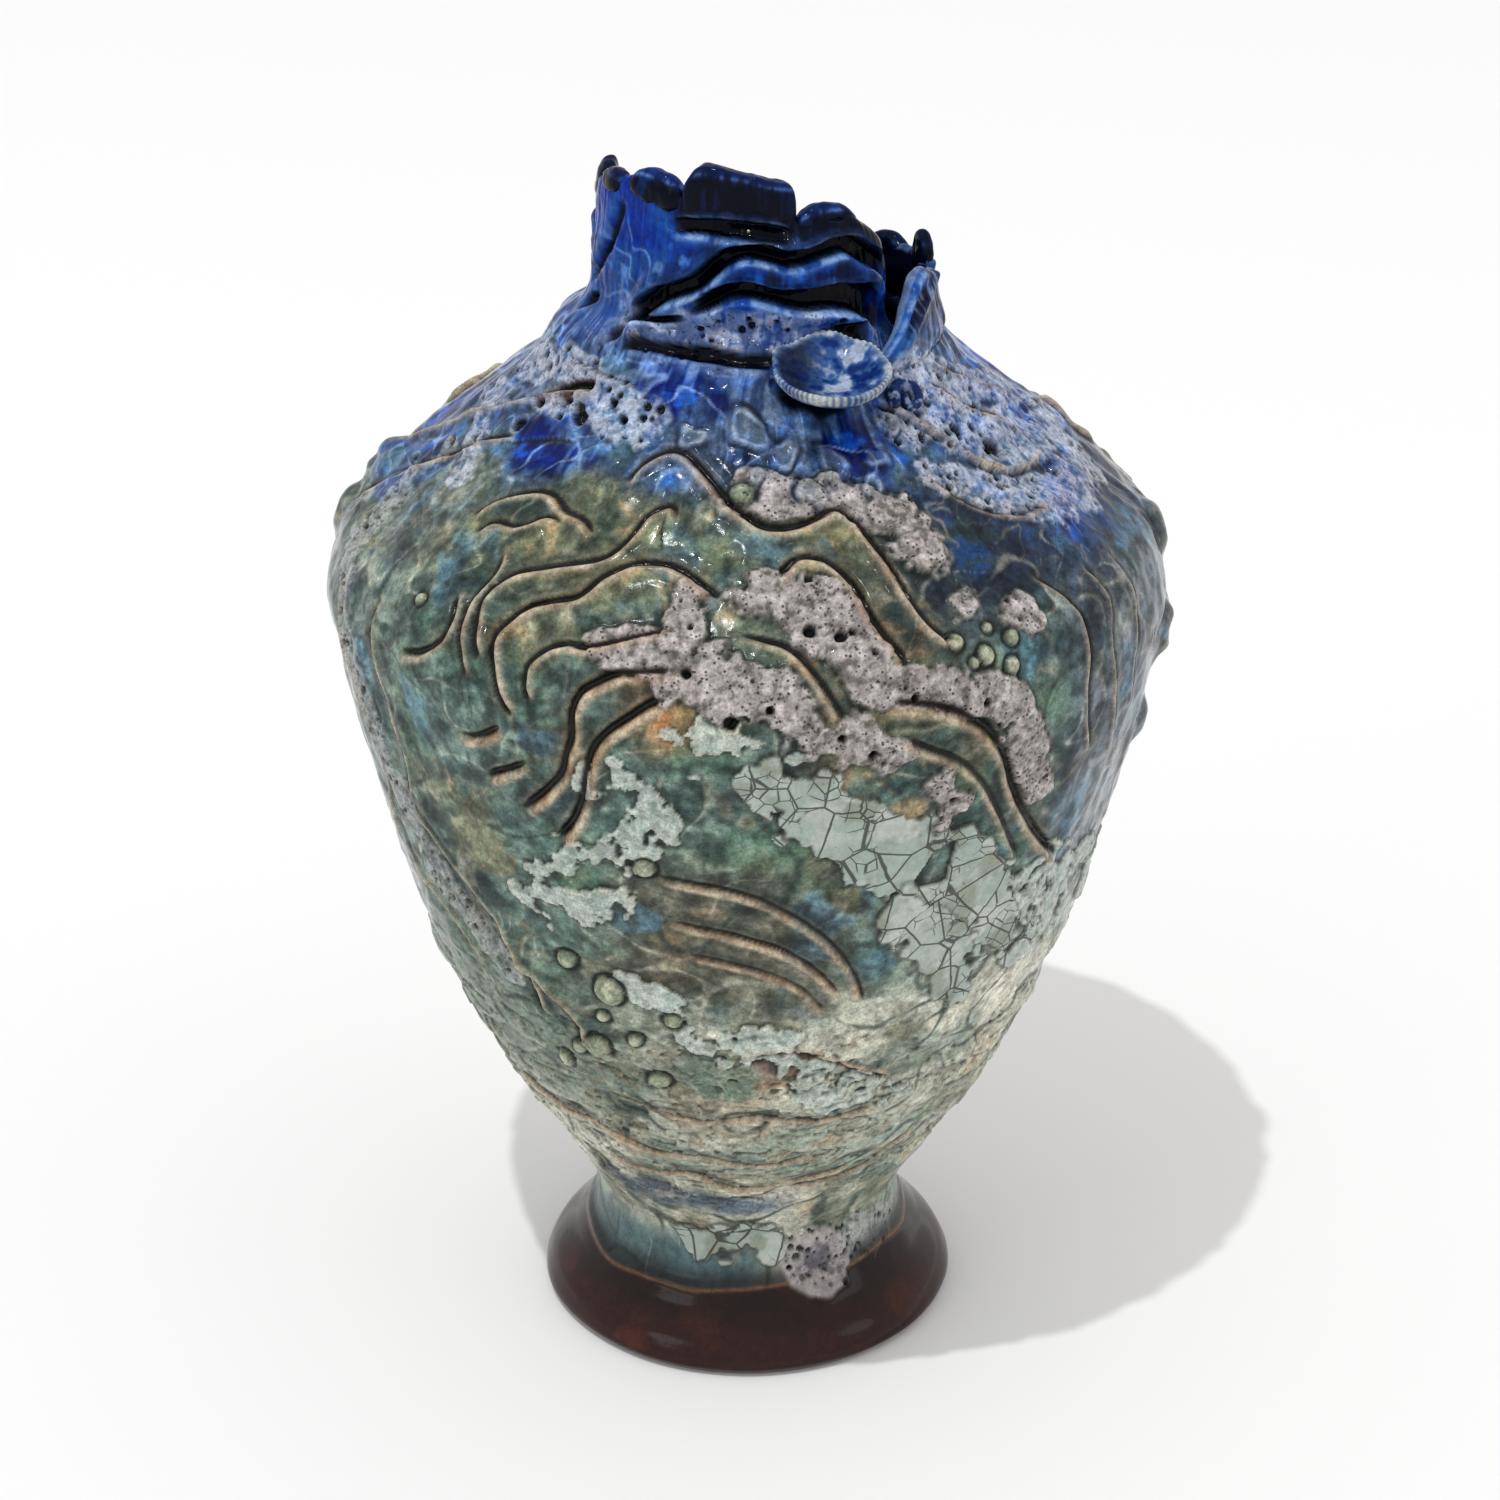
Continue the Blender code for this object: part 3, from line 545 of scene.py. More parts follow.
def paint_ground(skin):
    """Broad colours of the body, before foam, plates and lines."""
    z, az, p = skin.z, skin.az, skin.p
    wob = fbm(p, 34, 3, 11) * 10
    n_big = fbm(p, 38, 4, 21)
    n_mid = fbm(p, 14, 4, 31)
    n_small = fbm(p, 5, 3, 51)
    lengthy = streaks(skin, 26, 3.0, 61) * 0.6 + streaks(skin, 12, 1.6, 62) * 0.4
    fall = runs(skin, 3.0, 22, 63) * 0.6 + runs(skin, 1.6, 12, 64) * 0.4

    skin.rgb[:] = np.array((178, 180, 163)) / 255.0
    skin.paint((212, 208, 190), smoothstep(n_mid + 0.5 * lengthy, -0.05, 0.5) * 0.75)
    skin.paint((126, 128, 106), smoothstep(-n_mid + 0.4 * lengthy, 0.1, 0.5) * 0.6)
    skin.paint((112, 134, 122), smoothstep(n_big + 0.3 * lengthy, 0.15, 0.5) * 0.55)
    skin.paint((182, 158, 124), smoothstep(fbm(p, 16, 3, 73), 0.28, 0.55) * smoothstep(z, 130, 90) * 0.5)
    shaded = smoothstep(-az, 4, 34) * smoothstep(-az, 120, 80) * smoothstep(z, 84, 108)
    skin.paint((78, 98, 84), shaded * (0.68 + 0.4 * n_mid))

    olive_zone = smoothstep(z + wob, 134, 166)
    skin.paint(TEAL, olive_zone * 0.85)
    skin.paint(GREEN, olive_zone * smoothstep(n_mid, -0.1, 0.5) * 0.6)
    skin.paint(OLIVE, olive_zone * smoothstep(n_big + 0.4 * n_mid, -0.05, 0.5) * 0.8)
    skin.paint(DEEP_TEAL, olive_zone * smoothstep(-n_mid + 0.3 * n_small, 0.15, 0.6) * 0.55)
    skin.paint(SAGE, olive_zone * smoothstep(n_small - 0.3 * n_big, 0.15, 0.6) * 0.4)
    skin.paint(OCHRE, olive_zone * smoothstep(fbm(p, 20, 3, 71), 0.3, 0.62) * 0.55)

    centre = smoothstep(np.abs(az + 2) + 10 * n_mid, 26, 8) * smoothstep(np.abs(z - 166), 34, 10)
    skin.paint(BROWN, centre * 0.5)
    skin.paint(OLIVE, centre * smoothstep(lengthy, 0.0, 0.6) * 0.6)
    waist = smoothstep(np.abs(az + 18 + 6 * n_mid), 40, 22)
    waist = waist * smoothstep(np.abs(z - 56 - 0.1 * az + 7 * n_mid), 8, 1)
    skin.paint((70, 84, 106), waist * 0.75)
    pool = smoothstep(z, 40, 30) * smoothstep(-az, -14, 4) * smoothstep(-az, 165, 120)
    skin.paint((52, 84, 92), pool * 0.8)
    warm_spot = smoothstep(np.hypot((az + 8) * 1.7, z - 234) + 6 * n_mid, 17, 6)
    skin.paint(OCHRE, warm_spot * 0.75)
    skin.paint(RUST, warm_spot * smoothstep(n_small, 0.1, 0.5) * 0.5)
    torn = np.hypot((az - 8) * 1.5 + (z - 118) * 0.6, (z - 118) * 1.2) + 9 * n_mid + 3 * n_small
    skin.paint((176, 128, 84), smoothstep(np.abs(torn - 11.0), 1.5, 0.4) * 0.65)
    skin.paint((128, 100, 84), smoothstep(torn, 10.6, 9.6) * 0.9)
    flat_spot = smoothstep(np.hypot((az + 5) * 1.4, (z - 116)) + 3 * n_mid, 11, 7)
    skin.paint((108, 128, 112), flat_spot * 0.8)

    tawny = smoothstep(np.hypot((az - 17) * 1.2, (z - 248) * 0.8) + 6 * n_mid, 19, 8)
    skin.paint((106, 84, 64), tawny * smoothstep(n_small + 0.6 * lengthy, -0.4, 0.4) * 0.7)
    skin.paint((158, 112, 72), tawny * smoothstep(n_small - n_mid, 0.25, 0.6) * 0.6)
    front = smoothstep(np.abs(az + 10), 74, 54)
    crown = smoothstep(z + 0.4 * wob, 240, 262) * smoothstep(z + 0.4 * wob, 288, 272) * front
    skin.paint(OLIVE, crown * 0.6)
    skin.paint(OCHRE, crown * smoothstep(n_small + 0.5 * n_mid, 0.2, 0.6) * 0.45)
    skin.paint(DEEP_TEAL, crown * smoothstep(-n_mid, 0.1, 0.5) * 0.6)
    skin.paint((40, 72, 96), crown * smoothstep(fbm(p, 9, 3, 81), 0.25, 0.6) * 0.5)

    right = smoothstep(az + 0.6 * wob, 42, 54) * smoothstep(az, 150, 120) * smoothstep(z + wob, 128, 160)
    skin.paint(SLATE, right * 0.8)
    skin.paint(NAVY, right * smoothstep(fall, -0.1, 0.5) * 0.45)
    skin.paint((122, 128, 136), right * smoothstep(-fall + 0.3 * n_mid, 0.2, 0.6) * 0.6)
    navy_zone = smoothstep(az + 0.5 * wob, 20, 34) * smoothstep(az, 128, 96)
    navy_zone = navy_zone * smoothstep(z + 0.5 * wob, 242, 254) * smoothstep(z, 288, 270)
    skin.paint(NAVY, navy_zone * 0.9)
    skin.paint((20, 52, 96), navy_zone * smoothstep(n_mid, 0.0, 0.5) * 0.7)

    left = smoothstep(-az + 0.6 * wob, 50, 64) * smoothstep(-az, 165, 130) * smoothstep(z + wob, 120, 150)
    skin.paint((104, 116, 112), left * 0.7)
    skin.paint((60, 78, 96), left * smoothstep(fall + 0.3 * n_mid, 0.1, 0.6) * 0.5)
    skin.paint((150, 154, 152), left * smoothstep(-fall, 0.15, 0.6) * 0.5)

    blue_line = 279 + 4.5 * np.sin(np.radians(az * 5 + 20)) + 0.35 * wob
    blue_line = blue_line - 8 * smoothstep(np.abs(az - 14), 26, 10)
    blue_line = blue_line - 22 * smoothstep(az, 44, 62) * smoothstep(az, 150, 110)
    blue_line = blue_line - 12 * smoothstep(-az, 66, 80) * smoothstep(-az, 150, 120)
    blue_line = blue_line - 12 * smoothstep(-az, 34, 50) * smoothstep(-az, 120, 90)
    blue = smoothstep(z - blue_line, -3, 4)
    skin.paint(MID_BLUE, blue)
    skin.paint(COBALT, blue * smoothstep(n_mid + 0.5 * fall, -0.12, 0.35))
    skin.paint(BRIGHT_BLUE, blue * smoothstep(n_small + 0.4 * fall, 0.12, 0.55) * 0.6)
    skin.paint(PALE_BLUE, blue * smoothstep(-n_mid + 0.5 * fall, 0.1, 0.6) * 0.75)
    skin.paint((82, 122, 132), blue * smoothstep(fbm(p, 16, 3, 91), 0.25, 0.6) * 0.6)
    collar = smoothstep(z, 292, 302)
    skin.paint(PALE_BLUE, collar * smoothstep(fall + 0.5 * n_small, 0.0, 0.5) * 0.7)
    skin.paint(COBALT, collar * smoothstep(-fall, 0.1, 0.5) * 0.6)

    fine = fbm(p, 2.2, 3, 92)
    body = 1 - blue
    veins = marble(p, 13, 15, 301)
    skin.paint((40, 54, 50), body * smoothstep(veins, 0.84, 0.98) * smoothstep(n_mid, -0.4, 0.2) * 0.7)
    veins = marble(p, 10, 13, 302)
    skin.paint((188, 186, 166), body * smoothstep(veins, 0.86, 0.99) * smoothstep(-n_mid, -0.3, 0.3) * 0.6)
    veins = marble(p, 5.5, 8, 303)
    skin.paint((150, 128, 96), body * smoothstep(veins, 0.90, 0.99) * smoothstep(n_big, -0.2, 0.3) * 0.5)
    stain = smoothstep(fbm(p, 17, 3, 304), 0.22, 0.5) * smoothstep(z, 120, 170)
    skin.paint((74, 112, 134), body * stain * 0.6)
    veins = marble(p, 8, 10, 305)
    skin.paint((150, 176, 212), blue * smoothstep(veins, 0.86, 0.99) * 0.6)
    depth = np.clip(0.55 * n_small + 0.45 * n_mid + 0.35 * fine, -0.6, 0.22)
    skin.rgb *= np.exp(depth * (0.35 + 0.65 * smoothstep(z, 110, 175)))[:, None]

    skin.dry[:] = 0.03 + 0.10 * smoothstep(n_small, -0.2, 0.5) + 0.22 * smoothstep(z, 150, 90)


def add_foam(skin):
    """Raised, bubbled crust with burst pores and a lacy edge."""
    for n, (stations, widths) in enumerate(FOAM_BANDS):
        pumice = n < PUMICE_BANDS
        share = PUMICE_WIDTH if pumice else 0.9
        mask = band_mask(skin, stations, [w * share for w in widths], 2.0, 3.4, 100 + n)
        idx = np.where(mask > 0.01)[0]
        if len(idx) == 0:
            continue
        p = skin.p[idx]
        lace, _ = cells(p, 3.2, 340 + n)
        m = mask[idx] * (1 - smoothstep(1.25 - lace, -0.2, 0.4) * smoothstep(0.92 - mask[idx], -0.1, 0.25))
        grain = fbm(p, 2.6, 3, 200 + n)
        stipple = fbm(p, 1.1, 2, 230 + n)
        thick = (1.25 if pumice else 0.6) * (0.8 + 0.4 * noise3(p, 12, 210 + n))
        rise = m * thick + (0.30 if pumice else 0.12) * m * grain + (0.16 if pumice else 0.05) * m * stipple
        f1, ident = cells(p, 4.2 if pumice else 3.2, 300 + n)
        size = (0.3 + 1.1 * ident ** 5) if pumice else (0.42 + 1.0 * ident ** 2.4)
        hole = smoothstep(size - f1, -0.25, 0.3) * smoothstep(m, 0.5, 0.9)
        big1, big_id = cells(p, 14.0, 320 + n)
        big_size = np.where(big_id > 0.6, 0.9 + 2.2 * (big_id - 0.6), 0.0)
        burst = smoothstep(big_size - big1, -0.3, 0.4) * smoothstep(m, 0.6, 0.95) * (big_id > 0.6)
        hole = np.maximum(hole, burst)
        skin.d[idx] += rise - 1.7 * hole
        full = skin.spread(idx, m)
        tone = skin.spread(idx, grain + 0.7 * stipple)
        if pumice:
            skin.paint((166, 159, 157), full * 0.94)
            skin.paint((202, 194, 193), full * smoothstep(tone, 0.05, 0.6) * 0.75)
            skin.paint((94, 88, 84), full * smoothstep(-tone, 0.1, 0.6) * 0.8)
            rim = np.clip(full * (1 - full) * 4, 0, 1)
            skin.paint((70, 74, 66), rim * 0.6)
        else:
            under = 0.55 + 0.45 * smoothstep(tone, -0.5, 0.4)
            blue = on_blue_shoulder(stations)
            skin.paint(LILAC if blue else (168, 170, 170), full * under * 0.78)
            skin.paint((52, 84, 132) if blue else (86, 92, 92), full * smoothstep(-tone, 0.2, 0.7) * 0.7)
        dark = skin.spread(idx, hole)
        skin.paint((12, 12, 18), dark * 0.95)
        skin.dry = np.maximum(skin.dry, full * (0.75 if pumice else 0.22))
        skin.foam = np.maximum(skin.foam, full * (1.0 if pumice else 0.55))


BLUE_FROM = 255                # mean height above which a foam band is lilac


def on_blue_shoulder(stations):
    """True for a band that lies on the blue part of the pot."""
    heights = [z for _, z in stations]
    return sum(heights) / len(heights) > BLUE_FROM


PLATE_SIZE = 11.5              # width of one plate of the crackled glaze


def add_crackle(skin):
    """Thick mint glaze shrunk into flat plates; the thin cracks themselves are in the material."""
    for n, (stations, widths) in enumerate(CRACKLE_BANDS):
        mask = band_mask(skin, stations, [w * 0.9 for w in widths], 1.6, 4.2, 400 + n)
        idx = np.where(mask > 0.01)[0]
        if len(idx) == 0:
            continue
        p = skin.p[idx]
        warp = np.stack([noise3(p, 9, 410 + n + k) for k in range(3)], 1) * 0.8
        _, ident = cells(p + warp, PLATE_SIZE, 420 + n, 1.0)
        whole = smoothstep(ident, 0.10, 0.14)
        plate = mask[idx] * whole
        skin.d[idx] += plate * (0.75 + 0.7 * (ident - 0.5))
        full = skin.spread(idx, plate)
        shade = skin.spread(idx, ident)
        worn = skin.spread(idx, fbm(p, 9, 4, 440 + n))
        skin.paint((178, 188, 181), full * 0.97)
        skin.paint((150, 168, 158), full * smoothstep(shade, 0.55, 0.75) * 0.5)
        skin.paint((196, 202, 194), full * smoothstep(shade, 0.4, 0.2) * 0.5)
        skin.paint((128, 134, 116), full * smoothstep(worn, 0.1, 0.45) * 0.55)
        skin.paint((206, 206, 196), full * smoothstep(-worn, 0.15, 0.5) * 0.4)
        rim = np.clip(full * (1 - full) * 4, 0, 1)
        skin.paint((60, 64, 52), rim * 0.6)
        skin.crackle = np.maximum(skin.crackle, full)
        skin.dry = np.where(full > 0.5, 0.2, skin.dry)


def add_chips(skin):
    """Flaky mint chips torn into islands."""
    for n, (stations, widths) in enumerate(CHIP_BANDS):
        mask = band_mask(skin, stations, widths, 6.0, 4.0, 500 + n)
        idx = np.where(mask > 0.01)[0]
        if len(idx) == 0:
            continue
        p = skin.p[idx]
        f = fbm(p, 6.0, 4, 510 + n)
        chip = smoothstep(f + mask[idx] * 0.7, 0.42, 0.56)
        skin.d[idx] += chip * (0.7 + 0.3 * noise3(p, 2.2, 520 + n))
        full = skin.spread(idx, chip)
        skin.paint((186, 196, 188), full * 0.9)
        shade = skin.spread(idx, chip * smoothstep(noise3(p, 2.6, 530 + n), 0.1, 0.6))
        skin.paint((140, 158, 150), shade * 0.6)
        skin.dry = np.maximum(skin.dry, full * 0.35)


BIG_PORES = (
    (-52, 289, 2.6), (-46, 286, 2.0), (-62, 280, 2.2), (-60, 285, 1.6), (-38, 291, 1.3), (-33, 288, 1.2),
    (56, 281, 2.0), (62, 275, 2.6), (49, 289, 1.5), (70, 282, 1.2), (9, 252, 1.7), (13, 250, 1.6),
    (-8, 244, 1.4), (-2, 233, 1.9), (3, 236, 1.1), (16, 223, 1.3), (12, 228, 1.1), (-79, 250, 1.5),
    (-84, 262, 1.3), (28, 205, 1.0), (22, 236, 0.9), (32, 231, 1.0), (46, 290, 2.6),
)


def add_pores(skin):
    """A few large burst bubbles."""
    for az, z, radius in BIG_PORES:
        centre = body_point(np.array([az], float), np.array([z], float))
        idx, dist, _, _ = skin.near(centre, radius + 3.5)
        if len(idx) == 0:
            continue
        wob = dist + 0.3 * noise3(skin.p[idx], 1.8, 9)
        hole = smoothstep(radius - wob, -0.35, 0.5)
        rim = np.exp(-((wob - radius - 0.7) / 0.6) ** 2)
        skin.d[idx] += 0.35 * rim - 2.4 * hole
        dark = skin.spread(idx, hole)
        skin.paint((8, 8, 12), dark)


RINGS = (
    (0, 289, 4.8, 1.5), (9, 284, 3.6, 0.9), (20, 281, 4.2, 1.0), (13, 277, 3.4, 0.8),
    (30, 281, 3.0, 0.7), (27, 276, 3.4, 0.8), (2, 280, 2.6, 0.7), (38, 287, 3.2, 0.9),
    (-14, 287, 2.8, 0.6), (-4, 275, 3.0, 0.8),
)
PELLETS = (
    (29, 246, 2.4), (33, 242, 2.6), (37, 238, 2.4), (38, 244, 2.2), (31, 241, 1.6), (35, 247, 1.7),
    (-29, 151, 3.2), (-22, 144, 4.4), (-26, 123, 3.8), (-35, 112, 2.8), (-16, 112, 3.4), (-12, 136, 2.6),
    (-24, 134, 2.0), (-1, 277, 3.2), (-31, 118, 2.2), (-19, 127, 2.2), (-52, 246, 1.8), (-14, 188, 3.0),
)


def add_rings(skin):
    """Pressed rings like barnacles, and stuck-on pellets."""
    for az, z, radius, height in RINGS:
        centre = body_point(np.array([az], float), np.array([z], float))
        idx, dist, _, _ = skin.near(centre, radius + 6)
        if len(idx) == 0:
            continue
        q = skin.p[idx] - centre
        angle = np.arctan2(q[:, 2], q @ np.array([math.cos(math.radians(az)), math.sin(math.radians(az)), 0]))
        wob = dist * (1 + 0.22 * np.sin(2 * angle + az) + 0.12 * np.sin(3 * angle + z))
        wob = wob + 0.9 * noise3(skin.p[idx], 3.4, 17)
        patchy = 0.55 + 0.75 * noise3(skin.p[idx], 3.0, 15)
        wall = np.exp(-((wob - radius * 0.8) / 0.9) ** 2)
        dome = smoothstep(radius * 0.9 - wob, -1.2, 1.6)
        skin.d[idx] += height * (0.75 * wall + 0.35 * dome)
        pale = skin.spread(idx, wall * patchy)
        skin.paint((168, 178, 186), pale * 0.8)
        dark = skin.spread(idx, np.exp(-((wob - radius * 1.25) / 0.7) ** 2) * patchy)
        skin.paint((16, 26, 52), dark * 0.8)
        middle = skin.spread(idx, dome * (1 - wall))
        skin.paint((112, 128, 140), middle * 0.55)
    for az, z, radius in PELLETS:
        centre = body_point(np.array([az], float), np.array([z], float))
        idx, dist, _, _ = skin.near(centre, radius + 4)
        if len(idx) == 0:
            continue
        wob = dist * (1 + 0.12 * noise3(skin.p[idx], 3.0, 8))
        dome = np.sqrt(np.clip(1 - (wob / radius) ** 2, 0, 1))
        moat = np.exp(-((wob - radius * 1.12) / 0.7) ** 2)
        skin.d[idx] += dome * radius * 0.62 - 0.5 * moat
        body = skin.spread(idx, smoothstep(dome, 0.05, 0.4))
        skin.paint((118, 132, 104), body * 0.75)
        crown = skin.spread(idx, smoothstep(dome + 0.2 * noise3(skin.p[idx], 1.6, 9), 0.8, 1.0))
        skin.paint((196, 204, 178), crown * 0.55)
        ring = skin.spread(idx, moat)
        skin.paint((44, 50, 40), ring * 0.55)


# worn lumps seen on the outline: azimuth, height, radius, rise, radius of the hole in it
SIDE_LUMPS = (
    (92, 238, 9.0, 2.6, 0.0), (84, 214, 9.5, 3.4, 3.2), (88, 202, 6.5, 2.2, 0.0),
    (80, 190, 7.0, 2.4, 0.0), (-97, 238, 9.0, 2.4, 2.4), (-90, 216, 7.0, 1.6, 0.0),
    (-94, 256, 7.0, 1.8, 0.0), (96, 268, 8.0, 1.8, 1.6),
)


def add_side_lumps(skin):
    for az, z, radius, rise, bore in SIDE_LUMPS:
        centre = body_point(np.array([az], float), np.array([z], float))
        idx, dist, _, _ = skin.near(centre, radius + 4)
        if len(idx) == 0:
            continue
        wob = dist * (1 + 0.25 * noise3(skin.p[idx], 6.0, 12))
        skin.d[idx] += rise * smoothstep(radius - wob, -2.0, 5.0)
        dark = np.zeros(len(skin.z))
        if bore:
            hole = smoothstep(bore - wob * 0.8, -0.4, 0.8)
            skin.d[idx] -= 3.4 * hole
            dark[idx] = hole
        skin.paint((14, 16, 20), dark * 0.95)


def shape_body(skin):
    """All relief and colour of the thrown body's outer wall."""
    p, z, az = skin.p, skin.z, skin.az
    skin.lines = {k: np.zeros(len(z)) for k in ("dark", "pale", "warm", "shade")}
    calm = smoothstep(z, 34, 60)
    skin.d += calm * (fbm(p, 46, 2, 1) * 1.5 + fbm(p, 16, 3, 2) * 0.8 + fbm(p, 4.5, 2, 3) * 0.22)
    skin.d += (1 - calm) * fbm(p, 20, 2, 4) * 0.35
    low = smoothstep(z, 200, 150) * calm
    skin.d += low * (streaks(skin, 20, 2.2, 5) * 0.16 + streaks(skin, 34, 6.0, 6) * 0.4)
    flake = fbm(np.stack([p[:, 0], p[:, 1], p[:, 2] * 1.7], 1), 15, 4, 8)
    steps = smoothstep(flake, 0.02, 0.07) + smoothstep(flake, 0.26, 0.31) - smoothstep(-flake, 0.2, 0.25)
    skin.d += steps * 0.55 * smoothstep(z, 150, 112) * smoothstep(z, 44, 58)
    side = smoothstep(np.abs(az), 46, 62) * smoothstep(z, 150, 190)
    skin.d += side * runs(skin, 5.0, 46, 7) * 0.6
    paint_ground(skin)
    add_side_lumps(skin)
    for line in LINES:
        carve_line(skin, body_point, *line)
    lines = skin.lines
    # painted shade in the hollows beside the lines
    skin.paint((34, 44, 44), lines["shade"] * 0.55)
    skin.paint((188, 142, 96), np.clip(lines["warm"], 0, 1) * 0.8)
    skin.paint((150, 72, 38), smoothstep(lines["warm"], 0.7, 1.1) * 0.8)
    add_crackle(skin)
    add_chips(skin)
    add_foam(skin)
    add_rings(skin)
    add_pores(skin)
    # lips of the lines: brown and cream where the glaze breaks, together with a painted highlight
    warm_pale = lines["pale"] * smoothstep(z, 300, 288)
    skin.paint((138, 92, 66), warm_pale * 0.75)
    skin.paint((206, 192, 166), warm_pale * smoothstep(noise3(p, 8.0, 78), -0.35, 0.3) * 0.85)
    skin.paint((160, 178, 206), lines["pale"] * smoothstep(z, 288, 300) * 0.7)
    # painted shade at the bottom of the grooves
    skin.paint(GROOVE_SHADE, smoothstep(lines["dark"], 0.25, 0.7) * 0.94)
    paint_shell_shadow(skin)
    paint_foot(skin)


def paint_shell_shadow(skin):
    """Painted shadow of the shell: a near-black patch on the shoulder below it."""
    across = (skin.az - 21.0) / 13.0
    down = (skin.z - 294.0 - 3.0 * across ** 2) / 3.6
    far = np.hypot(across, down) + 0.25 * noise3(skin.p, 5.0, 97)
    # painted shadow under the shell
    skin.paint((3, 5, 14), smoothstep(far, 1.05, 0.6) * 0.95)


def paint_foot(skin):
    """Brown glaze of the flared foot and its wavy meeting with the pale glaze."""
    z, az, p = skin.z, skin.az, skin.p
    edge = 20.5 + 1.6 * np.sin(np.radians(az * 3 + 40)) + 1.2 * noise3(p, 14, 90)
    edge = edge + 3 * smoothstep(az, 20, 60) * smoothstep(az, 165, 120)
    foot = smoothstep(edge - z, -0.5, 0.8)
    near = np.exp(-((z - edge - 1.2) / 1.5) ** 2)
    skin.paint((16, 16, 16), smoothstep(z - edge, 9, 1) * (1 - foot) * 0.7)
    skin.paint((150, 92, 40), np.exp(-((z - edge - 0.4) / 0.45) ** 2) * 0.7)
    skin.paint(FOOT, foot)
    skin.paint(FOOT_WARM, foot * smoothstep(fbm(p, 12, 3, 95), 0.1, 0.6) * 0.6)
    skin.paint((14, 7, 6), foot * smoothstep(z, 10, 18) * 0.5)
    skin.dry = np.where(foot > 0.5, 0.05, skin.dry)
    skin.d += near * 0.5 * (1 - foot)
    skin.foam *= 1 - foot
    disc = np.hypot((az - 26.0) * 0.66, (z - 28.0) * 0.8) + 0.9 * noise3(p, 4, 98)
    grain = fbm(p, 2.4, 3, 99)
    spots, ident = cells(p, 2.6, 96)
    pit = smoothstep(0.35 + 0.7 * ident ** 2 - spots, -0.2, 0.25) * smoothstep(disc, 9.5, 8.0)
    skin.paint((172, 166, 166), smoothstep(disc, 9.2, 7.6) * 0.9)
    skin.paint((74, 70, 82), smoothstep(disc + 3 * grain, 5.5, 2.0) * 0.7)
    skin.paint((16, 14, 18), pit * 0.9)
    skin.d += 0.9 * smoothstep(disc, 9.5, 7.5) + 0.3 * grain * smoothstep(disc, 9, 7) - 0.8 * pit
    skin.dry = np.maximum(skin.dry, 0.6 * smoothstep(disc, 9.2, 7.6))


GLAZE_DEPTH = 0.95           # painted colours are as seen in full light; the glaze itself is darker


# ---- meshes ---------------------------------------------------------------------------------
def to_linear(rgb):
    """Painted sRGB value as the linear value the shader reads."""
    rgb = np.clip(rgb, 0, 1)
    return np.where(rgb <= 0.04045, rgb / 12.92, ((rgb + 0.055) / 1.055) ** 2.4) * GLAZE_DEPTH


def grid_mesh(name, points, wrap_columns, cap_ends=False):
    """Closed mesh from points[row, column]: rows run round the section, columns round the pot."""
    rows, cols = points.shape[:2]
    index = np.arange(rows * cols).reshape(rows, cols)
    right = np.roll(index, -1, 1)
    up = np.roll(index, -1, 0)
    up_right = np.roll(right, -1, 0)
    if not wrap_columns:
        index, right, up, up_right = (m[:, :-1] for m in (index, right, up, up_right))
    quads = np.stack([index, right, up_right, up], -1).reshape(-1, 4)
    mesh = bpy.data.meshes.new(name)
    loops = [quads.ravel()]
    starts = np.arange(len(quads)) * 4
    totals = np.full(len(quads), 4)
    if cap_ends:
        first = np.arange(rows) * cols
        last = (np.arange(rows) * cols + cols - 1)[::-1]
        loops += [first, last]
        starts = np.concatenate([starts, [len(quads) * 4, len(quads) * 4 + rows]])
        totals = np.concatenate([totals, [rows, rows]])
    loops = np.concatenate(loops).astype(np.int32)
    mesh.vertices.add(rows * cols)
    mesh.vertices.foreach_set("co", (points.reshape(-1, 3) * MM).astype(np.float32).ravel())
    mesh.loops.add(len(loops))
    mesh.loops.foreach_set("vertex_index", loops)
    mesh.polygons.add(len(starts))
    mesh.polygons.foreach_set("loop_start", starts.astype(np.int32))
    mesh.polygons.foreach_set("loop_total", totals.astype(np.int32))
    mesh.update(calc_edges=True)
    return mesh


def face_out(mesh):
    """Turn all faces outwards if the closed mesh is inside out."""
    shape = bmesh.new()
    shape.from_mesh(mesh)
    if shape.calc_volume(signed=True) < 0:
        bmesh.ops.reverse_faces(shape, faces=shape.faces)
        shape.to_mesh(mesh)
    shape.free()


def set_layer(mesh, name, values):
    """Store one number per vertex for the material."""
    layer = mesh.attributes.new(name, "FLOAT", "POINT")
    layer.data.foreach_set("value", values.astype(np.float32))


def set_colour(mesh, rgb):
    """Store the painted colour per vertex for the material."""
    layer = mesh.color_attributes.new("glaze", "FLOAT_COLOR", "POINT")
    rgba = np.concatenate([to_linear(rgb), np.ones((len(rgb), 1))], 1)
    layer.data.foreach_set("color", rgba.astype(np.float32).ravel())


def dress(name, mesh, rgb, dry, foam, crackle, material, nodes):
    """Make the piece, give it its layers and material, and put it in the frame."""
    set_colour(mesh, rgb)
    set_layer(mesh, "dry", dry)
    set_layer(mesh, "foam", foam)
    set_layer(mesh, "crackle", crackle)
    face_out(mesh)
    mesh.shade_smooth()
    obj = bpy.data.objects.new(name, mesh)
    bpy.context.scene.collection.objects.link(obj)
    mesh.materials.append(material)
    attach(obj, "root")
    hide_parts(*nodes)
    return obj


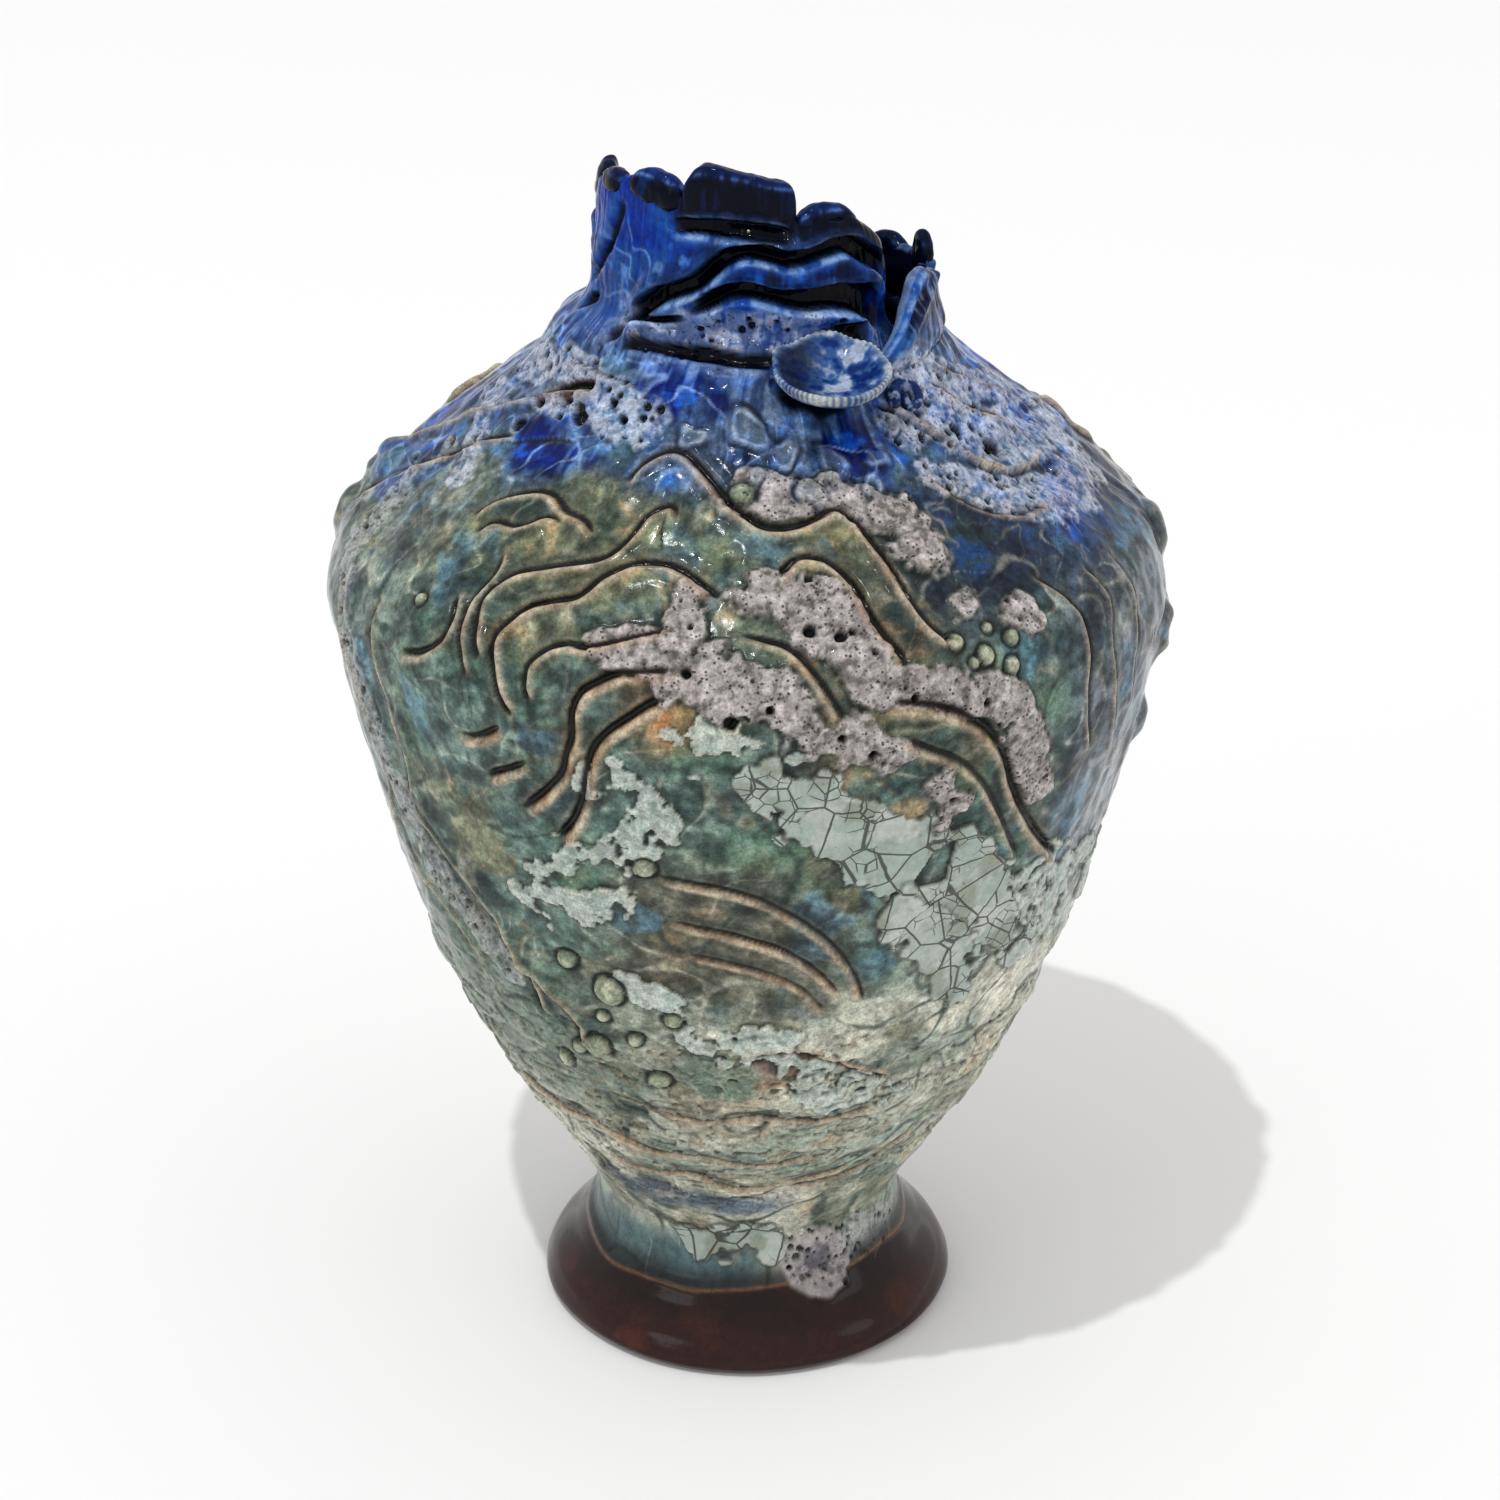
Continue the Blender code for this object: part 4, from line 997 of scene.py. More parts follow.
# ---- materials ------------------------------------------------------------------------------
def glaze_material(name, level, coat, bump_scale, mottling):
    """Glaze whose broad colour is painted on the mesh, with fine mottling, pores and bump nodes."""
    mat = bpy.data.materials.new(name)
    mat.use_nodes = True
    tree = mat.node_tree
    nodes, links = tree.nodes, tree.links
    shader = nodes["Principled BSDF"]
    shader.inputs["Coat Weight"].default_value = coat
    shader.inputs["Coat Roughness"].default_value = 0.05
    shader.inputs["IOR"].default_value = 1.5
    shader.inputs["Specular IOR Level"].default_value = level

    def node(kind, **settings):
        made = nodes.new(kind)
        for key, value in settings.items():
            setattr(made, key, value)
        return made

    def maths(operation, a, b=None, clamp=False):
        made = node("ShaderNodeMath", operation=operation, use_clamp=clamp)
        for slot_index, value in ((0, a), (1, b)):
            if value is None:
                continue
            if isinstance(value, (int, float)):
                made.inputs[slot_index].default_value = value
            else:
                links.new(value, made.inputs[slot_index])
        return made.outputs[0]

    def ramp(value, low, high, out_low=0.0, out_high=1.0):
        made = node("ShaderNodeMapRange", interpolation_type="SMOOTHSTEP")
        links.new(value, made.inputs["Value"])
        for key, number in (("From Min", low), ("From Max", high), ("To Min", out_low), ("To Max", out_high)):
            made.inputs[key].default_value = number
        return made.outputs["Result"]

    def mix(kind, factor, a, b):
        made = node("ShaderNodeMix", data_type="RGBA", blend_type=kind)
        for socket, value in ((made.inputs[0], factor), (made.inputs[6], a), (made.inputs[7], b)):
            if isinstance(value, (int, float)):
                socket.default_value = value
            elif isinstance(value, tuple):
                socket.default_value = value
            else:
                links.new(value, socket)
        return made.outputs[2]

    place = node("ShaderNodeTexCoord").outputs["Object"]

    def noise(scale, detail, rough=0.6):
        made = node("ShaderNodeTexNoise")
        links.new(place, made.inputs["Vector"])
        made.inputs["Scale"].default_value = scale
        made.inputs["Detail"].default_value = detail
        made.inputs["Roughness"].default_value = rough
        return made.outputs["Fac"]

    def voronoi(scale, feature="F1"):
        made = node("ShaderNodeTexVoronoi", feature=feature)
        links.new(place, made.inputs["Vector"])
        made.inputs["Scale"].default_value = scale
        return made

    colour = node("ShaderNodeAttribute", attribute_name="glaze").outputs["Color"]
    dry = node("ShaderNodeAttribute", attribute_name="dry").outputs["Fac"]
    foam = node("ShaderNodeAttribute", attribute_name="foam").outputs["Fac"]
    crackle = node("ShaderNodeAttribute", attribute_name="crackle").outputs["Fac"]

    mottle = noise(420, 5, 0.65)
    fleck = noise(1500, 3, 0.6)
    light = maths("MULTIPLY", ramp(mottle, 0.30, 0.70, 1 - mottling, 1 + mottling),
                  ramp(fleck, 0.30, 0.70, 1 - 0.6 * mottling, 1 + 0.6 * mottling))
    calm = maths("SUBTRACT", 1.0, maths("MULTIPLY", crackle, 0.7))
    light = maths("ADD", 1.0, maths("MULTIPLY", maths("SUBTRACT", light, 1.0), calm))
    tone = node("ShaderNodeCombineColor")
    for k in range(3):
        links.new(light, tone.inputs[k])
    base = mix("MULTIPLY", 1.0, colour, tone.outputs[0])
    speck = voronoi(900)
    specks = maths("MULTIPLY", ramp(speck.outputs["Distance"], 0.30, 0.12), ramp(noise(160, 2), 0.52, 0.66))
    base = mix("MIX", maths("MULTIPLY", specks, 0.45), base, (0.02, 0.022, 0.025, 1))
    pore = voronoi(760)
    pores = maths("MULTIPLY", ramp(pore.outputs["Distance"], 0.36, 0.20), ramp(noise(240, 2), 0.44, 0.56))
    pores = maths("MULTIPLY", pores, foam)
    base = mix("MIX", maths("MULTIPLY", pores, 0.85), base, (0.012, 0.012, 0.018, 1))
    hair = voronoi(190, "DISTANCE_TO_EDGE")
    web = voronoi(84, "DISTANCE_TO_EDGE")
    finer = maths("MULTIPLY", ramp(hair.outputs["Distance"], 0.036, 0.014), ramp(noise(60, 2), 0.52, 0.58))
    hairs = maths("MAXIMUM", finer, ramp(web.outputs["Distance"], 0.030, 0.013))
    hairs = maths("MULTIPLY", hairs, crackle)
    base = mix("MIX", maths("MULTIPLY", hairs, 0.85), base, (0.030, 0.028, 0.022, 1))
    links.new(base, shader.inputs["Base Color"])

    rough = maths("ADD", maths("MULTIPLY", dry, 0.85), ramp(mottle, 0.3, 0.7, 0.02, 0.12), clamp=True)
    links.new(rough, shader.inputs["Roughness"])

    height = maths("MULTIPLY", noise(650, 4, 0.6), ramp(dry, 0.1, 0.7, 0.35, 1.6))
    height = maths("SUBTRACT", height, maths("MULTIPLY", pores, 1.4))
    height = maths("SUBTRACT", height, maths("MULTIPLY", hairs, 0.5))
    bump = node("ShaderNodeBump")
    bump.inputs["Strength"].default_value = 0.55
    bump.inputs["Distance"].default_value = bump_scale
    links.new(height, bump.inputs["Height"])
    links.new(bump.outputs["Normal"], shader.inputs["Normal"])
    return mat


BODY_GLAZE = glaze_material("body_glaze", 0.12, 0.06, 0.0004, 0.36)
NECK_GLAZE = glaze_material("neck_glaze", 0.05, 0.05, 0.00022, 0.24)
FOOT_GLAZE = glaze_material("foot_glaze", 0.18, 0.16, 0.0003, 0.22)


# ---- body pieces ----------------------------------------------------------------------------
WALL = 7.0
COLUMNS = azimuth_columns(SPACING, 112.0, BACK_RATIO)
DARK_INSIDE = np.array((18, 26, 40)) / 255.0
# colour of the painted shade in the hollows of the body
HOLLOW_SHADE = (24, 28, 26)
EDGE_CREAM = (196, 190, 168)
EDGE_BLUE = (150, 170, 204)


def outer_skin(heights):
    """Displaced outer wall over all heights as (skin, points[row, column])."""
    az, z = np.meshgrid(COLUMNS, heights)
    shape = az.shape
    az, z = az.ravel(), z.ravel()
    skin = Skin(az, z, body_point(az, z), body_normal(az, z))
    shape_body(skin)
    # ridge colour from cream to blue: broken glaze together with a painted highlight; the hollows get painted
    # shade
    edge = np.array(EDGE_CREAM) + (np.array(EDGE_BLUE) - EDGE_CREAM) * smoothstep(z, 270, 288)[:, None]
    pool_glaze_with_painted_shade_and_highlight(skin, shape, True, HOLLOW_SHADE, edge, smoothstep(z, 20, 34))
    skin.d *= smoothstep(z, 0.4, 3.0)
    points = skin.p + skin.n * skin.d[:, None]
    return skin, points.reshape(*shape, 3)


def ring_rows(stations):
    """Plain rings (radius, height) round the pot on the same columns."""
    a = np.radians(COLUMNS)
    return np.stack([np.stack([r * np.sin(a), -r * np.cos(a), np.full(len(a), z)], -1) for r, z in stations])


def mark_sharp(mesh, rows, cols):
    """Keep shading of the outer wall apart from the hidden joint faces."""
    pairs = np.zeros(len(mesh.edges) * 2, np.int32)
    mesh.edges.foreach_get("vertices", pairs)
    row = pairs.reshape(-1, 2) // cols
    sharp = (row[:, 0] == row[:, 1]) & np.isin(row[:, 0], rows)
    layer = mesh.attributes.new("sharp_edge", "BOOLEAN", "EDGE")
    layer.data.foreach_set("value", sharp)


def body_section(name, first, last, nodes, foot=False):
    """Closed shell made of some rows of the outer wall and a hidden inner wall."""
    rows = slice(first, last + 1)
    outer = BODY_POINTS[rows]
    cols = len(COLUMNS)
    low, high = HEIGHTS[first], HEIGHTS[last]
    if foot:
        inner = ring_rows(((30.0, high), (0.0, high), (0.0, 7.0), (44.0, 7.0), (47.0, 0.0)))
    else:
        hidden = np.linspace(high, low, 6)
        inner = ring_rows([(float(body_radius(z)) - WALL, z) for z in hidden])
    points = np.concatenate([outer, inner])
    extra = inner.shape[0] * inner.shape[1]
    part = slice(first * cols, (last + 1) * cols)
    rgb = np.concatenate([BODY_SKIN.rgb[part], np.tile(DARK_INSIDE, (extra, 1))])
    if foot:
        rgb[-extra:] = np.array((120, 96, 74)) / 255.0
    pad = np.zeros(extra)
    mesh = grid_mesh(name, points, wrap_columns=True)
    mark_sharp(mesh, (0, len(outer) - 1, len(points) - 1 if foot else 0), cols)
    obj = dress(name, mesh, rgb, np.concatenate([BODY_SKIN.dry[part], pad + 0.5]),
                np.concatenate([BODY_SKIN.foam[part], pad]), np.concatenate([BODY_SKIN.crackle[part], pad]),
                FOOT_GLAZE if foot else BODY_GLAZE, nodes)
    if foot:
        shape = bmesh.new()
        shape.from_mesh(mesh)
        middle = [v for v in shape.verts if math.hypot(v.co.x, v.co.y) < 0.00001]
        bmesh.ops.remove_doubles(shape, verts=middle, dist=0.00001)
        shape.to_mesh(mesh)
        shape.free()
    return obj


ALL_NODES = sorted(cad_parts)


def nodes_named(*starts):
    """Names of the CAD nodes that start with any of these words."""
    return [n for n in ALL_NODES if n.startswith(starts)]


def nodes_between(names, low, high):
    """Trim nodes whose middle height lies between two heights."""
    kept = []
    for n in names:
        a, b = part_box(n)
        if low <= (a.z + b.z) / 2 / MM < high:
            kept.append(n)
    return kept


TRIM = nodes_named("wave_coil", "pellet", "ring_button", "side_")
LEVELS = [0.0] + SEAMS + [SHOULDER_TOP]
SLOTS = ("brown_foot", "sage_glaze", "teal_glaze", "blue_glaze")
SECTIONS = []
for level, (node_name, slot_name) in enumerate(zip(BODY_NODES, SLOTS)):
    bottom, top = LEVELS[level], LEVELS[level + 1]
    cuts = [bottom, top] if level < 2 else [bottom, (bottom + top) / 2 + (4 if level == 3 else 0), top]
    for part, (low, high) in enumerate(zip(cuts, cuts[1:])):
        SECTIONS.append((f"{node_name}_skin_{part + 1}", node_name, slot_name, low, high))
HEIGHTS = [0.0]
BREAKS = [0]
for _, _, _, low, high in SECTIONS:
    HEIGHTS.extend(profile_rows(low, high, SPACING)[1:])
    BREAKS.append(len(HEIGHTS) - 1)
HEIGHTS = np.array(HEIGHTS)
BODY_SKIN, BODY_POINTS = outer_skin(HEIGHTS)
for (piece, node_name, slot_name, low, high), first, last in zip(SECTIONS, BREAKS, BREAKS[1:]):
    body_section(piece, first, last, [node_name] + nodes_between(TRIM, low, high), foot=first == 0)


# ---- the neck's surface ---------------------------------------------------------------------
NECK_CENTRE_X = 4.0
NECK_HALF_WIDTH = 45.5
NECK_FRONT = 38.0
NECK_BACK = 31.0
NECK_WALL = 4.0
SHEET_RADIUS = 44.0                     # mean radius, for lengths along the torn rim
NECK_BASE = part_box("neck_wrap")[0].z / MM
NECK_START = NECK_BASE - 1.2            # the sheets are dragged down over the shoulder's edge
NECK_BLEND = 14.0
JOIN_TOP = 306.0                        # the shoulder's colours and relief run up to here
LEAN_START = 318.0
LEAN = 0.10 / 30.0
# near-black inner face of the neck: painted shade inside the mouth
INSIDE_SHADE = np.array((8, 14, 34)) / 255.0

# height of the torn rim and inset of the sheet, by azimuth
RIM = (
    (-268, 314), (-255, 315), (-240, 314), (-225, 312), (-205, 309), (-180, 311), (-150, 314),
    (-125, 320), (-105, 330), (-90, 336), (-75, 341), (-60, 343.5), (-44, 343), (-32, 342), (-24, 342),
    (8, 341), (12, 338), (24, 337), (36, 335), (46, 330), (55, 323), (64, 314),
)
TUCK = ((-268, 0.0), (0, 0.0), (20, 0.6), (36, 2.0), (50, 4.8), (64, 9.0))
FLAP_TOP = (
    (38, 300), (42, 303.5), (47, 308), (52, 312), (57, 315.5), (63, 317), (76, 315.5), (92, 311),
    (108, 304),
)
FLAP_INSET = ((38, -4.2), (46, -4.0), (54, -2.6), (62, -1.0), (80, -0.6), (92, -1.6), (108, -2.0))

# crevices between the folds: stations (azimuth, height, half width), depth, reach above, swell below
FOLDS = (
    ([(-50, 308, 0.9), (-42, 312, 1.7), (-36, 315.5, 1.9), (-28, 318.5, 1.7), (-22, 321, 1.5),
      (-16, 325, 1.5), (-11, 328.5, 1.5), (-5, 330, 1.5), (2, 329.5, 1.5), (8, 328, 1.5), (14, 328, 1.6),
      (21, 329.5, 1.7), (28, 330, 1.9), (34, 328, 2.2), (40, 325, 2.3), (46, 321.5, 2.2),
      (52, 316, 1.5)], 3.6, 3.0, 3.4),
    ([(-25, 313.5, 0.8), (-17, 317, 1.6), (-11, 319.5, 1.7), (-4, 320, 1.7), (3, 318.5, 1.7),
      (9, 317.5, 1.7), (16, 317, 2.2), (24, 317, 2.4), (32, 315.5, 3.0), (39, 313, 3.6), (45, 309, 3.2)],
      3.6, 2.8, 3.2),
    ([(-51, 305.5, 0.6), (-44, 308, 0.9), (-37, 309.5, 1.0), (-28, 311, 0.9), (-24, 311, 0.6)], 2.4, 0.9,
      0.6),
    ([(-48, 301.5, 0.6), (-41, 303, 0.7), (-33, 303.5, 0.6), (-16, 303.5, 0.9), (-5, 302.7, 0.8),
      (5, 302.5, 0.9), (14, 302, 0.8)], 1.8, 0.4, 0.3),
    ([(-56, 302, 0.5), (-50, 304, 0.9), (-45, 305.5, 0.6)], 1.8, 1.4, 1.0),
    ([(20, 307, 1.4), (28, 306.5, 2.4), (36, 305.5, 2.2), (41, 304, 1.2)], 3.2, 1.6, 0.4),
    ([(-84, 304, 0.6), (-77, 307, 1.2), (-70, 309.5, 1.0)], 2.6, 1.0, 0.8),
    ([(-34, 334, 0.8), (-27, 335, 1.4), (-16, 335.5, 1.6), (-4, 335, 1.6), (6, 334, 1.4),
      (13, 332.5, 0.8)], 2.4, 0.6, 1.8),
)
# upright grooves of the neck's left side and back: stations, depth, lip, lip side, warmth
NECK_LINES = (
    ([(-59, 339), (-62, 332), (-66, 325), (-73, 318), (-82, 311)], 3.4, 0.3, 1, 0.0),
    ([(-96, 330), (-98, 320), (-104, 311), (-112, 303)], 1.8, 1.2, 1, 0.1),
    ([(-128, 318), (-130, 310), (-136, 302)], 1.6, 1.2, 1, 0.1),
    ([(-160, 312), (-172, 308), (-186, 309), (-200, 306)], 1.8, 1.4, 1, 0.1),
    ([(-210, 307), (-216, 303), (-226, 300)], 1.4, 1.0, 1, 0.1),
)


def neck_point(az, z, inset):
    """Point of the neck's outer oval, blending to the round shoulder at its base."""
    a = np.radians(az)
    depth = np.where(np.cos(a) > 0, NECK_FRONT, NECK_BACK)
    lean = 1.0 - LEAN * np.maximum(z - LEAN_START, 0.0)
    x = NECK_CENTRE_X + (NECK_HALF_WIDTH * lean - inset) * np.sin(a)
    y = -(depth * lean - inset) * np.cos(a)
    t = np.clip((z - NECK_BASE) / NECK_BLEND, 0.0, 1.0)
    blend = t + t * t - t ** 3
    root = body_radius(np.minimum(z, SHOULDER_TOP)) + 0.15 - inset * blend
    round_x = root * np.sin(a)
    round_y = -root * np.cos(a)
    return np.stack([round_x + (x - round_x) * blend, round_y + (y - round_y) * blend, z], -1)


def neck_normal(az, z, inset):
    """Outward direction of the neck's outer oval."""
    across = neck_point(az + 0.5, z, inset) - neck_point(az - 0.5, z, inset)
    up = neck_point(az, z + 0.5, inset) - neck_point(az, z - 0.5, inset)
    n = np.cross(across, up)
    return n / np.linalg.norm(n, axis=-1, keepdims=True)


def inner_point(az, z, inset, depth):
    """Point a given depth behind the outer face."""
    return neck_point(az, z, inset) - neck_normal(az, z, inset) * depth[:, None]


def neck_place(az, z):
    """Point on the wrapped sheet, with its own inset."""
    return neck_point(az, z, table(TUCK, az))


MM_PER_DEGREE = 0.7           # arc length of one degree round the neck


def press_fold(skin, stations, depth, reach, swell):
    """Crevice with an overhanging lip above it and a rounded, light-catching edge below it; marks the crevice
    and the band under the lip for painted shade, and the edge for a painted highlight.
    """
    dense = spline(stations, 0.4)
    curve = neck_place(dense[:, 0], dense[:, 1])
    length = curve_length(curve)
    fold_az = dense[:, 0]
    level = np.interp(skin.az, fold_az, dense[:, 1])
    idx = np.where((skin.az > fold_az[0]) & (skin.az < fold_az[-1]) & (np.abs(skin.z - level) < 18.0))[0]
    if len(idx) == 0:
        return
    az = skin.az[idx]
    steep = np.gradient(dense[:, 1], fold_az) / MM_PER_DEGREE
    steep = np.convolve(np.pad(steep, 6, mode="edge"), np.ones(13) / 13, mode="valid")
    s = (skin.z[idx] - level[idx]) / np.sqrt(1 + np.interp(az, fold_az, steep) ** 2)
    dist = np.abs(s)
    along = (az - fold_az[0]) / (fold_az[-1] - fold_az[0])
    waver = 1 + 0.25 * noise3(curve, 6.0, 640)
    width = np.interp(az, fold_az, dense[:, 2] * waver)
    fade = line_fade(along, length, 7.0)
    far_up = np.maximum(s - width - 1.0, 0)
    far_down = np.maximum(-s - width - 1.6, 0)
    lip = smoothstep(s, width - 0.1, width + 0.9) * np.exp(-(far_up / 3.6) ** 2)
    edge = smoothstep(-s, width - 0.2, width + 1.7) * np.exp(-(far_down / 3.6) ** 2)
    gap = smoothstep(width + 0.6 - dist, 0.0, 0.8)
    skin.d[idx] += fade * (reach * lip + swell * edge - depth * gap)
    # inside of the crevice, kept for painted shade
    skin.gap[idx] = np.maximum(skin.gap[idx], fade * smoothstep(width + 0.9 - dist, 0.0, 0.7))
    # rounded edge below the crevice, kept for a painted highlight
    shine = np.exp(-((-s - width - 1.2) / 0.75) ** 2)
    skin.crest[idx] = np.maximum(skin.crest[idx], fade * shine)
    thin = np.exp(-((s - width - 0.8) / 0.35) ** 2)
    skin.rimline[idx] = np.maximum(skin.rimline[idx], fade * thin)
    # band under the overhanging lip, kept for painted shade
    under = smoothstep(s, 8.5, 1.5) * smoothstep(s, width - 0.5, width + 0.5)
    skin.under[idx] = np.maximum(skin.under[idx], fade * under)


def paint_neck(skin, sheet_az, rim_z):
    """Cobalt running over ink, with pale broken streaks and foam towards the shoulder; painted shade on the
    right-hand side, under the slab and on the slab's face, and painted light on the ledge below the slab.
    """
    z, p = skin.z, skin.p
    az = sheet_az
    n_mid = fbm(p, 11, 4, 651)
    n_small = fbm(p, 3.2, 3, 652)
    fall = runs(skin, 1.6, 16, 653) * 0.6 + runs(skin, 0.8, 9, 654) * 0.4
    veins = marble(p, 7, 8, 656)
    skin.rgb[:] = np.array((3, 42, 136)) / 255.0
    skin.paint(INK, smoothstep(0.45 * fall + 0.9 * n_mid, 0.05, 0.5) * 0.7)
    skin.paint((16, 84, 178), smoothstep(-0.5 * fall + 0.9 * n_small, 0.15, 0.6) * 0.55)
    left = smoothstep(-az, 14, 32) * smoothstep(-az, 78, 58)
    skin.paint((30, 82, 158), left * smoothstep(n_mid + 0.5 * fall, -0.2, 0.4) * 0.75)
    skin.paint((104, 142, 196), left * smoothstep(z, 338, 328) * smoothstep(veins, 0.82, 0.98) * 0.75)
    pale_zone = smoothstep(z, 333, 324) * smoothstep(-az, 8, 24) * smoothstep(z, 308, 314)
    skin.paint((120, 154, 206), pale_zone * smoothstep(n_small + 0.3 * fall, 0.05, 0.6) * 0.6)
    skin.paint((8, 28, 84), pale_zone * smoothstep(-n_mid - 0.4 * fall, 0.1, 0.45) * 0.75)
    # lighter blue on the ledge below the slab: painted light on its upward-facing slope
    slope_zone = smoothstep(z, 329, 332) * smoothstep(z, 336, 333.5) * smoothstep(np.abs(az + 6), 32, 18)
    skin.paint((70, 118, 190), slope_zone * (0.5 + 0.4 * n_small))
    # painted shade in the hollow under the slab
    shade = smoothstep(z, 333, 336) * smoothstep(np.abs(az + 8), 26, 20)
    skin.paint((2, 4, 12), shade * 0.9)
    # upper right of the sheet painted dark navy: painted shade where it turns away from the key light
    right = smoothstep(az, 12, 34)
    skin.paint((10, 16, 34), right * smoothstep(z, 320, 328) * 0.85)
    skin.paint((40, 66, 116), right * smoothstep(z, 320, 328) * smoothstep(veins, 0.88, 0.99) * 0.6)
    # slab face below the rim painted ink: dark glaze together with painted shade on the overhanging face
    skin.paint(INK, smoothstep(z - rim_z, -10, -3) * smoothstep(az, -34, -22) * 0.9)
    foam = smoothstep(z + 2.5 * n_mid + 6 * smoothstep(az, 20, 36), 316.5, 312.5)
    foam = foam * smoothstep(np.abs(az + 12), 48, 36)
    skin.paint((122, 138, 178), foam * 0.8)
    skin.paint((184, 190, 208), foam * smoothstep(n_small + 0.3 * fall, -0.05, 0.5) * 0.8)
    skin.paint((14, 56, 142), foam * smoothstep(-n_mid + 0.5 * fall, 0.12, 0.5) * 0.85)
    lace = np.clip(foam, 0, 1)
    back = smoothstep(np.abs(az + 6), 52, 66)
    base = smoothstep(z + 3 * n_mid, 310, 302) * (1 - back)
    skin.paint((112, 130, 174), base * 0.75)
    skin.paint((180, 186, 206), base * smoothstep(n_small + 0.5 * fall, 0.0, 0.5) * 0.75)
    skin.paint((18, 54, 132), base * smoothstep(-fall - 0.6 * n_mid, 0.1, 0.5) * 0.85)
    side = back * smoothstep(z + 4 * n_mid, 324, 308)
    skin.paint((70, 104, 158), side * 0.6)
    skin.paint((150, 168, 200), side * smoothstep(fall + 0.4 * n_small, 0.1, 0.55) * 0.7)
    skin.foam = np.clip(np.maximum(lace, base) * 0.75, 0, 1)
    skin.d += skin.foam * (0.35 * n_small + 0.25)
    spots, ident = cells(p, 3.2, 655)
    pit = smoothstep(0.3 + 0.8 * ident ** 3 - spots, -0.2, 0.25) * smoothstep(skin.foam, 0.3, 0.6)
    skin.d -= 1.2 * pit
    skin.paint((10, 14, 30), pit * 0.9)
    skin.dry[:] = 0.03 + 0.12 * skin.foam
    return n_small


def sheet_mesh_parts(start, end, top_table, inset_of, wall, shape):
    """Grid of an upright torn sheet: outer face, rounded rim and inner face, as (points, skin, rows)."""
    spacing = SPACING * 0.85
    count = int(math.radians(abs(end - start)) * SHEET_RADIUS / spacing)
    az = np.linspace(start, end, count)
    arc = np.stack([az * SHEET_RADIUS * math.pi / 180, np.zeros(count), np.zeros(count)], 1)
    top = table(top_table, az) + 0.8 * noise3(arc, 5.0, 661) + 0.35 * noise3(arc, 1.7, 662)
    rows_out = int(50 / (SPACING * 0.8))
    v = np.linspace(0, 1, rows_out)
    grid_az, grid_v = np.meshgrid(az, v)
    z = NECK_START + (top[None, :] - NECK_START) * grid_v
    flat_az, flat_z = grid_az.ravel(), z.ravel()
    inset = inset_of(flat_az)
    skin = Skin(flat_az, flat_z, neck_point(flat_az, flat_z, inset), neck_normal(flat_az, flat_z, inset))
    skin.gap = np.zeros(len(flat_z))
    skin.crest = np.zeros(len(flat_z))
    skin.rimline = np.zeros(len(flat_z))
    skin.under = np.zeros(len(flat_z))
    skin.lines = {k: np.zeros(len(flat_z)) for k in ("dark", "pale", "warm", "shade")}
    rim_flat = np.tile(top, rows_out)
    shape(skin, flat_az, rim_flat)
    above_join = smoothstep(flat_z, 296, 304) * 0.75
    # painted shade in the sheet's hollows and a painted highlight on its ridges, above the join
    pool_glaze_with_painted_shade_and_highlight(skin, (rows_out, count), False, (2, 5, 18), (70, 120, 196), above_join)
    end_gap = np.minimum(np.abs(flat_az - start), np.abs(flat_az - end)) * SHEET_RADIUS * math.pi / 180
    round_off = 1.8
    pinch = 1 - np.sqrt(np.clip(1 - (1 - np.clip(end_gap / round_off, 0, 1)) ** 2, 0, 1))
    edge_round = 1.6
    rim_gap = rim_flat - flat_z
    shoulder = 1 - np.sqrt(np.clip(1 - (1 - np.clip(rim_gap / edge_round, 0, 1)) ** 2, 0, 1))
    skin.d -= wall / 2 * pinch + 1.1 * shoulder
    outer = (skin.p + skin.n * skin.d[:, None]).reshape(rows_out, count, 3)
    rim_rows = 5
    inner_rows = 26
    inner_v = np.linspace(1, 0, inner_rows)
    extra = []
    pinch_row = pinch.reshape(rows_out, count)[0]
    crown_out = outer[-1]
    crown_in = inner_point(az, top - 1.0, inset_of(az), wall * (1 - 0.5 * pinch_row))
    for k in range(1, rim_rows + 1):
        t = k / (rim_rows + 1)
        row = crown_out * (1 - t) + crown_in * t
        row[:, 2] += 0.9 * math.sin(math.pi * t)
        extra.append(row)
    for t in inner_v:
        inner_z = NECK_BASE + (top - 1.0 - NECK_BASE) * t
        extra.append(inner_point(az, inner_z, inset_of(az), wall * (1 - 0.5 * pinch_row)))
    return np.concatenate([outer, np.stack(extra)]), skin, rows_out, rim_rows, inner_rows


def sheet_piece(name, start, end, top_table, inset_of, wall, shape, rim_colour, nodes):
    parts = sheet_mesh_parts(start, end, top_table, inset_of, wall, shape)
    points, skin, rows_out, rim_rows, inner_rows = parts
    count = points.shape[1]
    crown = skin.rgb.reshape(rows_out, count, 3)[-1] * 0.5 + np.array(rim_colour) / 255.0 * 0.5
    # inner face painted near-black as shade
    inside = np.tile(INSIDE_SHADE, (inner_rows * count, 1))
    rgb = np.concatenate([skin.rgb, np.tile(crown, (rim_rows, 1)), inside])
    pad = np.zeros((rim_rows + inner_rows) * count)
    mesh = grid_mesh(name, points, wrap_columns=False, cap_ends=True)
    return dress(name, mesh, rgb, np.concatenate([skin.dry, pad + 0.12]), np.concatenate([skin.foam, pad]),
                 np.concatenate([skin.crackle, pad]), NECK_GLAZE, nodes)


